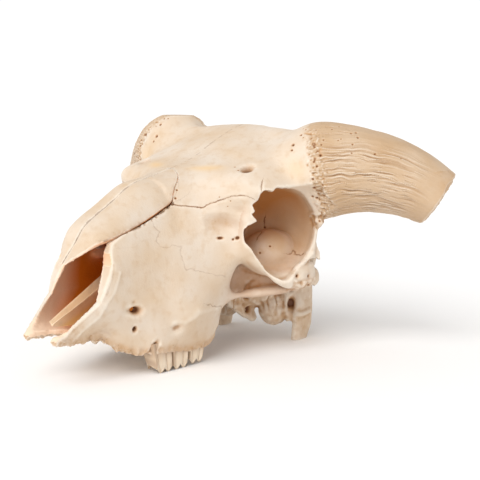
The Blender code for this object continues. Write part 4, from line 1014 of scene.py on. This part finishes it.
tints = {
    # nose, orange inside and darker deeper in, partly its own colour and partly painted shade: behind its rim
    # by this depth it is full, slant of the edge, least share, pale curl of bone
    "noseDeep": 18, "noseSlant": 0.55, "noseLeast": 0.04, "curlPale": 0.7,
    # eye socket, painted shade inside it: radius at the rim, how it narrows, fade at the rim, start, width and
    # least share up and back
    "socketRadius": 28.5, "socketTaper": 0.25, "socketFade": (12, 0.8),
    "socketUp": (58, 24, 0.34), "socketBack": (80, 16, 0.42),
    "lip": 0.9, "lipFacing": (-0.5, -0.1), "lipRadius": 32, "underArch": 0.45, "underArchIn": (6, 15),
    "tan": 0.6, "fossaShade": 0.75,
    "streak": {"x": 20.5, "y": 42.8, "slant": 0.42, "long": 9.0, "wide": 3.2, "above": 105},
}


def tint(q, n, masks):
    # masks of the inside of the nose, partly its own colour and partly painted shade; of painted shade in the
    # eye sockets, under the arch and in the lacrimal fossa; and of stains
    t, s = tints, tints["streak"]
    x, y, z = q.T
    width, low = line["cavityX"](y), line["cavityLow"](y)
    rimY, rimZ = np.array(skull["openingRim"]).T
    inNose = (x < width + 1.3) & (z > low - 2.0) & (z < line["roofZ"](y) - 1.0) & (y < 30)
    inNose &= (n[:, 0] < 0.2) & ((n[:, 2] < 0.35) | (z < low + 6))
    # darker and more orange deeper behind the rim: partly its own colour, partly painted shade
    behind = (y - np.interp(z, rimZ, rimY) - 2 + t["noseSlant"] * (z - 50)) / t["noseDeep"]
    pale = 1 - t["curlPale"] * blob(q, *blobs["curl"])
    masks["inside"] = inNose * np.clip(behind, t["noseLeast"], 1) * pale
    # painted shade in the eye socket, fuller deeper in, towards the top and towards the front
    depth, off = socketPlace(q)
    inEye = (depth > t["socketFade"][1]) & (off < t["socketRadius"] - depth * t["socketTaper"])
    (low, tall, dim), (rear, long, dull) = t["socketUp"], t["socketBack"]
    upper = np.clip((z - low) / tall, dim, 1) * np.clip(1.3 - (y - rear) / long, dull, 1)
    masks["socket"] = np.where(inEye, fall(depth, *t["socketFade"]) * upper, 0)
    middle = skull["orbitCentre"]
    facing = (n[:, 1] * (y - middle[1]) + n[:, 2] * (z - middle[2])) / np.maximum(off, 1)
    lip = fall(facing, *t["lipFacing"]) * fall(depth, 1, -1) * (depth > -12) * (off < t["lipRadius"])
    deepen(masks, "core", t["lip"] * lip * softBox(q, regions["orbitLip"]))
    # painted shade in the hollow under the arch, in the eye socket's colour
    webX, webY = np.array(skull["web"])[:, :2].T
    inward = x - np.interp(y, webY, webX) - 4
    under = fall(inward, *t["underArchIn"]) * softBox(q, regions["underArch"])
    deepen(masks, "socket", t["underArch"] * under)
    across, along = x - s["x"], y - s["y"]
    streak = np.exp(-(across / s["long"]) ** 2 - ((along - across * s["slant"]) / s["wide"]) ** 2)
    masks["stain"] = np.maximum(streak * (z > s["above"]), t["tan"] * blob(q, *blobs["tan"]))
    # painted shade in the lacrimal fossa under its ridge, through the raw mask's brown
    deepen(masks, "raw", t["fossaShade"] * blob(q, *blobs["fossaShade"]))


def markBone(mesh):
    # move the skin to carve every mark, and store the masks that the materials read
    refine(mesh, finePlaces(readPoints(mesh)))
    co, normals = readPoints(mesh), readNormals(mesh)
    q, n = folded(co, normals)
    lift = np.zeros(len(co))
    masks = {name: np.zeros(len(co)) for name in maskNames}
    carveSpots(q, n, lift, masks)
    carveSeams(co, q, n, lift, masks)
    for side in (1, -1):
        carveHorn(side, co, normals, lift, masks)
    roughen(co, q, n, lift, masks)
    writePoints(mesh, settle(co, q, co + normals * lift[:, None]))
    tint(q, n, masks)
    writeMasks(mesh, masks)


def markHollows(obj, rounds, reach):
    # how far each point lies below (1) or above (0) the faired surface, about 0.5 on the flat; the materials
    # paint shade in the hollows from it
    copy = newObject("faired", obj.data.copy())
    soften(copy, rounds)
    gap = ((readPoints(copy.data) - readPoints(obj.data)) * readNormals(obj.data)).sum(1)
    remove(copy)
    writeMask(obj.data, "hollow", np.clip(0.5 + gap / reach, 0, 1))


markBone(bone.data)
markHollows(bone, 14, 0.5)
print("bone marked:", len(bone.data.vertices), "points")


def partOff(obj, name, keep):
    # new object with the faces whose points are all marked; they leave the first one
    piece = newObject(name, obj.data.copy())
    for part, unwanted in ((obj, True), (piece, False)):
        rework(part.data, lambda bm: bmesh.ops.delete(
            bm, geom=[f for f in bm.faces if all(keep[v.index] for v in f.verts) == unwanted], context="FACES"))
    return piece


def shadeAsWhole(mesh):
    # shading normals of the uncut skin, so that no crease shows where a piece was parted off
    normals = np.zeros((3, len(mesh.vertices)))
    for axis, row in zip("XYZ", normals):
        layer = mesh.attributes["normal" + axis]
        layer.data.foreach_get("value", row)
        mesh.attributes.remove(layer)
    mesh.normals_split_custom_set_from_vertices(normals.T.tolist())


for axis, values in zip("XYZ", readNormals(bone.data).T):
    writeMask(bone.data, "normal" + axis, values)
partAt = 1.5  # mm beyond the plane where the horn core leaves the brow
hornLeft = partOff(bone, "hornCoreLeft", hornShare(readPoints(bone.data), 1) > partAt)
hornRight = partOff(bone, "hornCoreRight", hornShare(readPoints(bone.data), -1) > partAt)
for piece in (bone, hornLeft, hornRight):
    shadeAsWhole(piece.data)


def nasalForm(side):
    # the part of the uncut skin over the nose, as thick as the bone
    s = nasal
    rings = []
    for y in steps(*s["bone"]):
        drawn, where, over = s["bow"]
        half = at(y, "nasalX") + s["edgeGap"] - drawn * math.exp(-((y - where) / over) ** 2)
        under = nasalArch(y, s["midGap"], half, nasalDepth(y), 24)
        lid = at(y, "roofZ") + s["lid"]
        edge = nasalArch(y, half - 0.01, half, 0.0, 2)[1]
        ring = [(s["midGap"], y, lid), (half, y, lid), edge] + list(reversed(under))
        rings.append([(side * p[0], p[1], p[2]) for p in ring])
    piece = newObject("nasalLeft" if side > 0 else "nasalRight", uncut.data.copy())
    cutOne(piece, loft("nasalBlank", rings), "INTERSECT")
    keepLargest(piece)
    melt(piece, s["step"], 1)
    keepLargest(piece)
    mesh = piece.data
    co, normals = readPoints(mesh), readNormals(mesh)
    q, = folded(co)
    x, y, z = q.T
    wide = line["nasalX"](y)
    edge = np.exp(-((x - wide) / s["edgeWide"]) ** 2)
    lift = clouds(co, s["lumps"]) + s["edgeRough"] * edge * cloud(co, *s["edgeLumps"])
    swell = np.sin(math.pi * np.clip(x / wide, 0, 1)) * fall(y, 2, 24) * fall(y, -30, -46)
    lift += swell * s["swell"][side < 0]
    writePoints(mesh, co + normals * lift[:, None])
    middle = x + 0.35 * cloud(co, *s["midWander"])
    outer = np.abs(segmentDistance(q, normals, nasalEdge, marks["seamReach"]))
    # the underside of the nasal bone takes the nose's inside colour, more of it further back: partly its own
    # colour, partly painted shade
    writeMasks(mesh, {"seam": np.minimum(middle, outer), "raw": 0.5 * edge,
                      "seamWide": np.where(middle < outer, s["midWide"], s["outerWide"]),
                      "seamTone": np.where(middle < outer, s["midTone"], s["outerTone"]),
                      "inside": fall(normals[:, 2], -0.5, 0.2) * np.clip((y + 40) / 30, 0.1, 1)})
    markHollows(piece, 14, 0.5)
    return piece


nasalLeft, nasalRight = nasalForm(1), nasalForm(-1)
remove(uncut)

teeth = {
    # middle along the row, length, width, lower end, how far the root stands behind the tip
    "left": [(1.4, 13.0, 11.6, 0.0, -3.6), (13.2, 12.2, 12.2, 0.0, -1.2), (25.6, 11.6, 10.0, 1.0, 0.6)],
    "right": [(13.2, 12.4, 12.2, 7.0, -1.2), (25.6, 11.2, 10.0, 0.0, 0.6)],
    "inset": 1.2, "rootZ": 17.5, "cusp": 3.4, "fold": 1.3, "waist": 3.2, "levels": 26, "around": 96, "caps": 7,
    "taper": (0.16, 0.12), "wearDeep": 2.2, "wearZ": 2.6,  # slimmer at the tip; hollow of the crown
}


def molar(middle, length, width, end, lean, side):
    # a crown with folded outer wall, two inner lobes and pointed cusps, hollowed by wear
    x0 = at(middle, "marginX") - teeth["inset"] - width / 2

    def outline(s):
        if s < 0.5:
            u = length / 2 * (1 - 4 * s)
            fold = 1 - abs(math.cos(2 * math.pi * u / length)) ** 0.8
            return u, width / 2 - teeth["fold"] * fold * 0.9
        u = length / 2 * (4 * (s - 0.5) - 1)
        return u, -width / 2 + teeth["waist"] * (1 - abs(math.sin(2 * math.pi * u / length)) ** 0.7)

    around, levels, caps, (narrow, short) = teeth["around"], teeth["levels"], teeth["caps"], teeth["taper"]
    rings = []
    for t in [j / (levels - 1) for j in range(levels)]:
        ring = []
        for u, v in [outline(k / around) for k in range(around)]:
            point = 1 - abs(math.sin(2 * math.pi * u / length)) ** 1.2
            low = end + teeth["cusp"] * point * (0.75 if v > 0 else 0.9) + (0 if v > 0 else 0.9)
            ring.append((side * (x0 + v * (1.0 - narrow * t ** 3)),
                         middle + u * (1.0 - short * t ** 2) + lean * (1 - t),
                         teeth["rootZ"] + (low - teeth["rootZ"]) * t))
        rings.append(ring)
    last, cx = rings[-1], side * x0
    for share in [1 - j / caps for j in range(1, caps)]:
        deep = teeth["wearDeep"] * math.sin(math.pi * min(1.0, 1.35 * (1 - share)))
        rings.append([(cx + (p[0] - cx) * share, middle + (p[1] - middle) * (0.5 + 0.5 * share),
                       p[2] + deep + (end + teeth["wearZ"] - p[2]) * (1 - share) * 0.5) for p in last])
    return loft("molar", rings)


def toothRow(name, rows, side):
    obj = joinForms(name, [molar(*row, side) for row in rows])
    mesh = obj.data
    co = readPoints(mesh)
    co += readNormals(mesh) * clouds(co, [(0.10, (3, 1.1, 6), 61)])[:, None]
    writePoints(mesh, co)
    edges = [m + end * l / 2 for end in (-1, 1) for m, l, *_ in rows]
    writeMask(mesh, "gum", fall(co[:, 2], 13, 5))
    writeMask(mesh, "between", np.max([np.exp(-((co[:, 1] - e) / 1.1) ** 2) for e in edges], axis=0))
    writeMask(mesh, "chew", fall(co[:, 2], 1.0, 4.5) * (readNormals(mesh)[:, 2] < -0.2))
    markHollows(obj, 6, 0.4)
    return obj


molarsLeft = toothRow("molarsLeft", teeth["left"], 1)
molarsRight = toothRow("molarsRight", teeth["right"], -1)

keel = {
    "top": [(-53.4, 33.2), (-34, 42.8), (-11.8, 54.2), (8, 63), (25.4, 69)],
    "low": [(-53.4, 31.0), (-47, 30.0), (-34, 29.6), (-6, 29.6), (4, 30.5), (25.4, 36.4)],
    "spread": [(-53.4, 2.4), (-34, 3.7), (-11.8, 4.4), (25.4, 4.4)],
    "blade": 0.9, "reach": (-53.4, 25.0, 70),
}


def vomerHalf(y):
    # two thin blades that open upwards, joined along their foot
    t, b, s = [float(curve(keel[name])(y)) for name in ("top", "low", "spread")]
    w = keel["blade"]
    return [(0, b), (0.5, b + 0.1), (w, b + (t - b) * 0.35), (s * 0.8, t - (t - b) * 0.2), (s, t - 0.1),
            (s - w * 0.6, t), (s * 0.45, t - (t - b) * 0.25), (0, b + (t - b) * 0.5)]


vomer = loft("vomer", [mirroredSection(vomerHalf(y), y, 3) for y in steps(*keel["reach"])])
co = readPoints(vomer.data)
belowTop = co[:, 2] - curve(keel["top"])(co[:, 1])
writeMasks(vomer.data, {"seam": marks["noSeam"], "stain": 1.7 * fall(belowTop, -8, -4)})
writeMask(vomer.data, "hollow", np.full(len(co), 0.5))
print("pieces made")


def linear(hexColour):
    # sRGB hex to linear RGBA
    parts = [int(hexColour[i:i + 2], 16) / 255 for i in (1, 3, 5)]
    return tuple(c / 12.92 if c <= 0.04045 else ((c + 0.055) / 1.055) ** 2.4 for c in parts) + (1.0,)


def addNode(tree, kind, settings=None, inputs=None, out=0):
    # a node with its settings; an input that is a socket is linked, a value is set; gives one output
    node = tree.nodes.new("ShaderNode" + kind)
    for key, value in (settings or {}).items():
        setattr(node, key, value)
    for key, value in (inputs or {}).items():
        if isinstance(value, bpy.types.NodeSocket):
            tree.links.new(value, node.inputs[key])
        else:
            node.inputs[key].default_value = value
    return node.outputs[out]


# what the rows of a material do: kind of node, settings, inputs in their order, output; the others are maths
rowKinds = {
    "layer": ("Mix", {"data_type": "RGBA"}, (0, 6, 7), 2),
    "range": ("MapRange", None, ("Value", "From Min", "From Max", "To Min", "To Max"), 0),
    "noise": ("TexNoise", None, ("Vector", "Scale", "Detail"), "Fac"),
    "cells": ("TexVoronoi", None, ("Vector", "Scale", "Randomness"), "Distance"),
    "bump": ("Bump", None, ("Height", "Strength", "Distance"), 0),
    "stretch": ("Mapping", None, ("Vector", "Scale"), 0),
}


def rowMaterial(name, look, masks, rows):
    # a material from rows: name, what it does, and its inputs, each a number or a name from a row above
    material = bpy.data.materials.new(name)
    material.use_nodes = True
    tree = material.node_tree
    shader = tree.nodes["Principled BSDF"]
    shader.inputs["IOR"].default_value = look["ior"]
    part = {"where": addNode(tree, "TexCoord", out="Object")}
    part.update({n: addNode(tree, "Attribute", {"attribute_name": n}, out="Fac") for n in masks})
    part.update({value: linear(value) for value in look.values() if isinstance(value, str)})
    for made, what, *values in rows:
        kind, settings, keys, out = rowKinds.get(what, ("Math", {"operation": what}, (0, 1, 2), 0))
        part[made] = addNode(tree, kind, settings, {key: part.get(v, v) for key, v in zip(keys, values)}, out)
    for made, socket in (("colour", "Base Color"), ("rough", "Roughness"), ("bump", "Normal")):
        tree.links.new(part[made], shader.inputs[socket])
    return material


# Macerated and sun-bleached bone: matt ivory with warm clouds, brown in seams; painted shade darkens pores,
# holes and deep hollows, and ridges are paler
boneLook = {
    # crevice, pit, socket and coreGroove are painted shade: in hollows, inside holes and pores, in the eye
    # sockets and under the arch, and in the furrows of the horn cores
    "pale": "#DACAB8", "warm": "#D3BA9D", "mottle": "#C8A985", "crevice": "#A0703E", "raw": "#B98C5C",
    "ochre": "#E6BC7A", "nose": "#D87A10", "noseMouth": "#F3D6BA", "socket": "#B4722E", "seam": "#7A4A1E",
    "pit": "#6E3C14", "halo": "#C08C54", "core": "#CBB194", "coreWarm": "#C09F7A", "coreGroove": "#98704A",
    "edge": "#EFE5D6",
    "roughness": 0.58, "ior": 1.55, "bump": 0.3,
    "cloudMm": 24.0, "mottleMm": 4.5, "grainMm": 1.1,
    "spongeMm": 1.6,  # sponge-like pores, drawn coarser than real ones so that they show
}


def boneMaterial(name, look):
    c = look
    return rowMaterial(name, look, maskNames + ("hollow",), [
        ("cloud", "noise", "where", metre / c["cloudMm"], 4),
        ("mottle", "noise", "where", metre / c["mottleMm"], 3),
        ("grain", "noise", "where", metre / c["grainMm"], 3),
        ("cloudy", "range", "cloud", 0.35, 0.68),
        ("boneTone", "layer", "cloudy", c["pale"], c["warm"]),
        ("coreTone", "layer", "cloudy", c["core"], c["coreWarm"]),
        ("colour", "layer", "core", "boneTone", "coreTone"),
        ("spots", "range", "mottle", 0.52, 0.8, 0, 0.55),
        ("colour", "layer", "spots", "colour", c["mottle"]),
        ("rawSpots", "MULTIPLY", "raw", "mottle"),
        ("colour", "layer", "rawSpots", "colour", c["raw"]),
        ("tinted", "MULTIPLY", "stain", 0.55),
        ("colour", "layer", "tinted", "colour", c["ochre"]),
        # lighter on ridges and edges
        ("paleRidge", "range", "hollow", 0.46, 0.2, 0, 0.5),
        ("colour", "layer", "paleRidge", "colour", c["edge"]),
        # painted shade: darker brown in the hollows of the skin
        ("creviceShade", "range", "hollow", 0.56, 0.95, 0, 0.7),
        ("colour", "layer", "creviceShade", "colour", c["crevice"]),
        # painted shade in the furrows of the horn cores
        ("grooved", "MULTIPLY", "groove", 0.6),
        ("colour", "layer", "grooved", "colour", c["coreGroove"]),
        # spongy bone round the root of the horn core and where bone is raw
        ("cell", "cells", "where", metre / c["spongeMm"], 1),
        ("porous", "range", "cell", 0.32, 0.12),
        ("spongy", "MAXIMUM", "ring", "raw"),
        ("patchy", "range", "mottle", 0.5, 0.62),
        ("spongy", "MULTIPLY", "spongy", "patchy"),
        ("sponge", "MULTIPLY", "spongy", "porous"),
        ("sponge", "MULTIPLY", "sponge", 0.55),
        ("colour", "layer", "sponge", "colour", c["seam"]),
        # inside of the nose: orange, darker deeper in; partly its own colour, partly painted shade
        ("noseTone", "layer", "inside", c["noseMouth"], c["nose"]),
        ("inNose", "range", "inside", 0, 0.04),
        ("colour", "layer", "inNose", "colour", "noseTone"),
        # painted shade in the eye sockets and under the arch
        ("inEye", "MULTIPLY", "socket", 0.9),
        ("colour", "layer", "inEye", "colour", c["socket"]),
        # the suture: 1 where the distance to it is under its half width, with a jagged and broken edge
        ("jag", "MULTIPLY_ADD", "grain", 0.9, -0.45),
        ("off", "ADD", "seam", "jag"),
        ("off", "ABSOLUTE", "off"),
        ("far", "MULTIPLY", "seamWide", 2),
        ("suture", "range", "off", "far", "seamWide"),
        ("broken", "range", "mottle", 0.3, 0.55, 0.35, 0.9),
        ("suture", "MULTIPLY", "suture", "broken"),
        ("suture", "MULTIPLY", "suture", "seamTone"),
        ("colour", "layer", "suture", "colour", c["seam"]),
        # a brown ring round holes and pores, and painted shade, dark brown, inside them
        ("halo", "range", "pit", 0.02, 0.5, 0, 0.6),
        ("colour", "layer", "halo", "colour", c["halo"]),
        ("hole", "range", "pit", 0.4, 0.95, 0, 0.95),
        ("colour", "layer", "hole", "colour", c["pit"]),
        ("rough", "range", "mottle", 0, 1, c["roughness"] - 0.1, c["roughness"] + 0.16),
        ("height", "MULTIPLY_ADD", "mottle", 0.6, "grain"),
        ("height", "SUBTRACT", "height", "suture"),
        ("height", "SUBTRACT", "height", "sponge"),
        ("bump", "bump", "height", c["bump"], 0.0005),
    ])


# Worn enamel over dentine: smooth, slightly glossy, brown between crowns and towards the gum; the same brown is
# painted shade in the hollows of the crowns
enamelLook = {
    "enamel": "#EBDCC8", "streak": "#DDC6A8", "stain": "#9A7048", "dentine": "#B58F5E",
    "roughness": 0.38, "ior": 1.62, "streakMm": 1.6, "streakLong": 5.0,
}


def toothMaterial(name, look):
    c = look
    return rowMaterial(name, look, ("gum", "between", "chew", "hollow"), [
        ("along", "stretch", "where", (1.0, 1.0, 1 / c["streakLong"])),
        ("streaks", "noise", "along", metre / c["streakMm"], 3),
        ("colour", "layer", "streaks", c["enamel"], c["streak"]),
        # painted shade in the hollows of the crowns
        ("foldShade", "range", "hollow", 0.53, 0.8, 0, 0.8),
        ("tinted", "MAXIMUM", "between", "gum"),
        ("tinted", "MULTIPLY", "tinted", 0.55),
        ("tinted", "MAXIMUM", "tinted", "foldShade"),
        ("colour", "layer", "tinted", "colour", c["stain"]),
        ("chewed", "MULTIPLY", "chew", 0.5),
        ("colour", "layer", "chewed", "colour", c["dentine"]),
        ("rough", "range", "streaks", 0, 1, c["roughness"] - 0.08, c["roughness"] + 0.14),
        ("bump", "bump", "streaks", 0.3, 0.0004),
    ])


bleachedBone = boneMaterial("bleachedBone", boneLook)
groovedCore = boneMaterial("groovedHornCore", dict(boneLook, bump=0.45))
wornEnamel = toothMaterial("wornToothEnamel", enamelLook)
# thin translucent bone of the vomer, waxy and pinkish
thinBone = boneMaterial("thinVomerBone", dict(boneLook, pale="#EBCFAE", warm="#E2BD92", roughness=0.45))

sides = ("left", "right")
dressed = [
    (bone, bleachedBone, "bone", ["sphenoid", "ethmoid", "parietal", "occipital"] + [n + "_" + s for s in sides
     for n in ("frontal", "lacrimal", "zygomatic", "temporal", "maxilla", "bulla")]),
    (hornLeft, groovedCore, "horn_core", ["horn_core_left"]),
    (hornRight, groovedCore, "horn_core", ["horn_core_right"]),
    (nasalLeft, bleachedBone, "bone", ["nasal_left"]),
    (nasalRight, bleachedBone, "bone", ["nasal_right"]),
    (molarsLeft, wornEnamel, "bone", []),
    (molarsRight, wornEnamel, "bone", []),
    (vomer, thinBone, "bone", ["vomer"]),
]
creaseAngle = math.radians(62)  # edges sharper than this stay sharp in the shading
for piece, material, slot, nodes in dressed:
    piece.data.materials.clear()
    piece.data.materials.append(material)
    piece.data.shade_smooth()
    piece.data.set_sharp_from_angle(angle=creaseAngle)
    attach(piece, bodyName)
    nodes = [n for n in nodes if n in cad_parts]
    if nodes:
        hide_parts(*nodes)
print("pieces dressed")

studio = {
    "floor": "#FDFCFB", "floorSize": 9.0, "floorRoughness": 0.9,
    # brightness of the tent at the horizon and overhead, and the heights between them
    "horizon": 1.05, "dome": 0.60, "horizonTop": 0.10, "domeFrom": 0.38,
    # direction towards the lamp, width in degrees, strength
    "lamps": [("keySun", (0.26, -0.96, 0.88), 44.0, 2.0), ("fillSun", (-1.0, -0.45, 0.9), 70.0, 0.25)],
}


def makeStudio():
    mesh = bpy.data.meshes.new("studioFloor")
    s = studio["floorSize"] / 2
    mesh.from_pydata([(-s, -s, 0), (s, -s, 0), (s, s, 0), (-s, s, 0)], [], [(0, 1, 2, 3)])
    floor = newObject("studioFloor", mesh)
    paint = bpy.data.materials.new("matteFloorPaint")
    paint.use_nodes = True
    shader = paint.node_tree.nodes["Principled BSDF"]
    shader.inputs["Base Color"].default_value = linear(studio["floor"])
    shader.inputs["Roughness"].default_value = studio["floorRoughness"]
    mesh.materials.append(paint)
    world = bpy.data.worlds.new("studioWorld")
    world.use_nodes = True
    tree = world.node_tree
    back = tree.nodes["Background"]
    back.inputs["Color"].default_value = (1, 1, 1, 1)
    where = addNode(tree, "TexCoord", out="Generated")
    height = addNode(tree, "SeparateXYZ", None, {"Vector": where}, "Z")
    glow = addNode(tree, "MapRange", None, {
        "Value": height, "From Min": studio["horizonTop"], "From Max": studio["domeFrom"],
        "To Min": studio["horizon"], "To Max": studio["dome"]})
    tree.links.new(glow, back.inputs["Strength"])
    bpy.context.scene.world = world
    bpy.context.scene.view_settings.view_transform = "Standard"
    for name, towards, wide, power in studio["lamps"]:
        lamp = bpy.data.lights.new(name, "SUN")
        lamp.angle, lamp.energy = math.radians(wide), power
        newObject(name, lamp).rotation_euler = Vector(towards).to_track_quat("Z", "Y").to_euler()


makeStudio()
print("studio set")
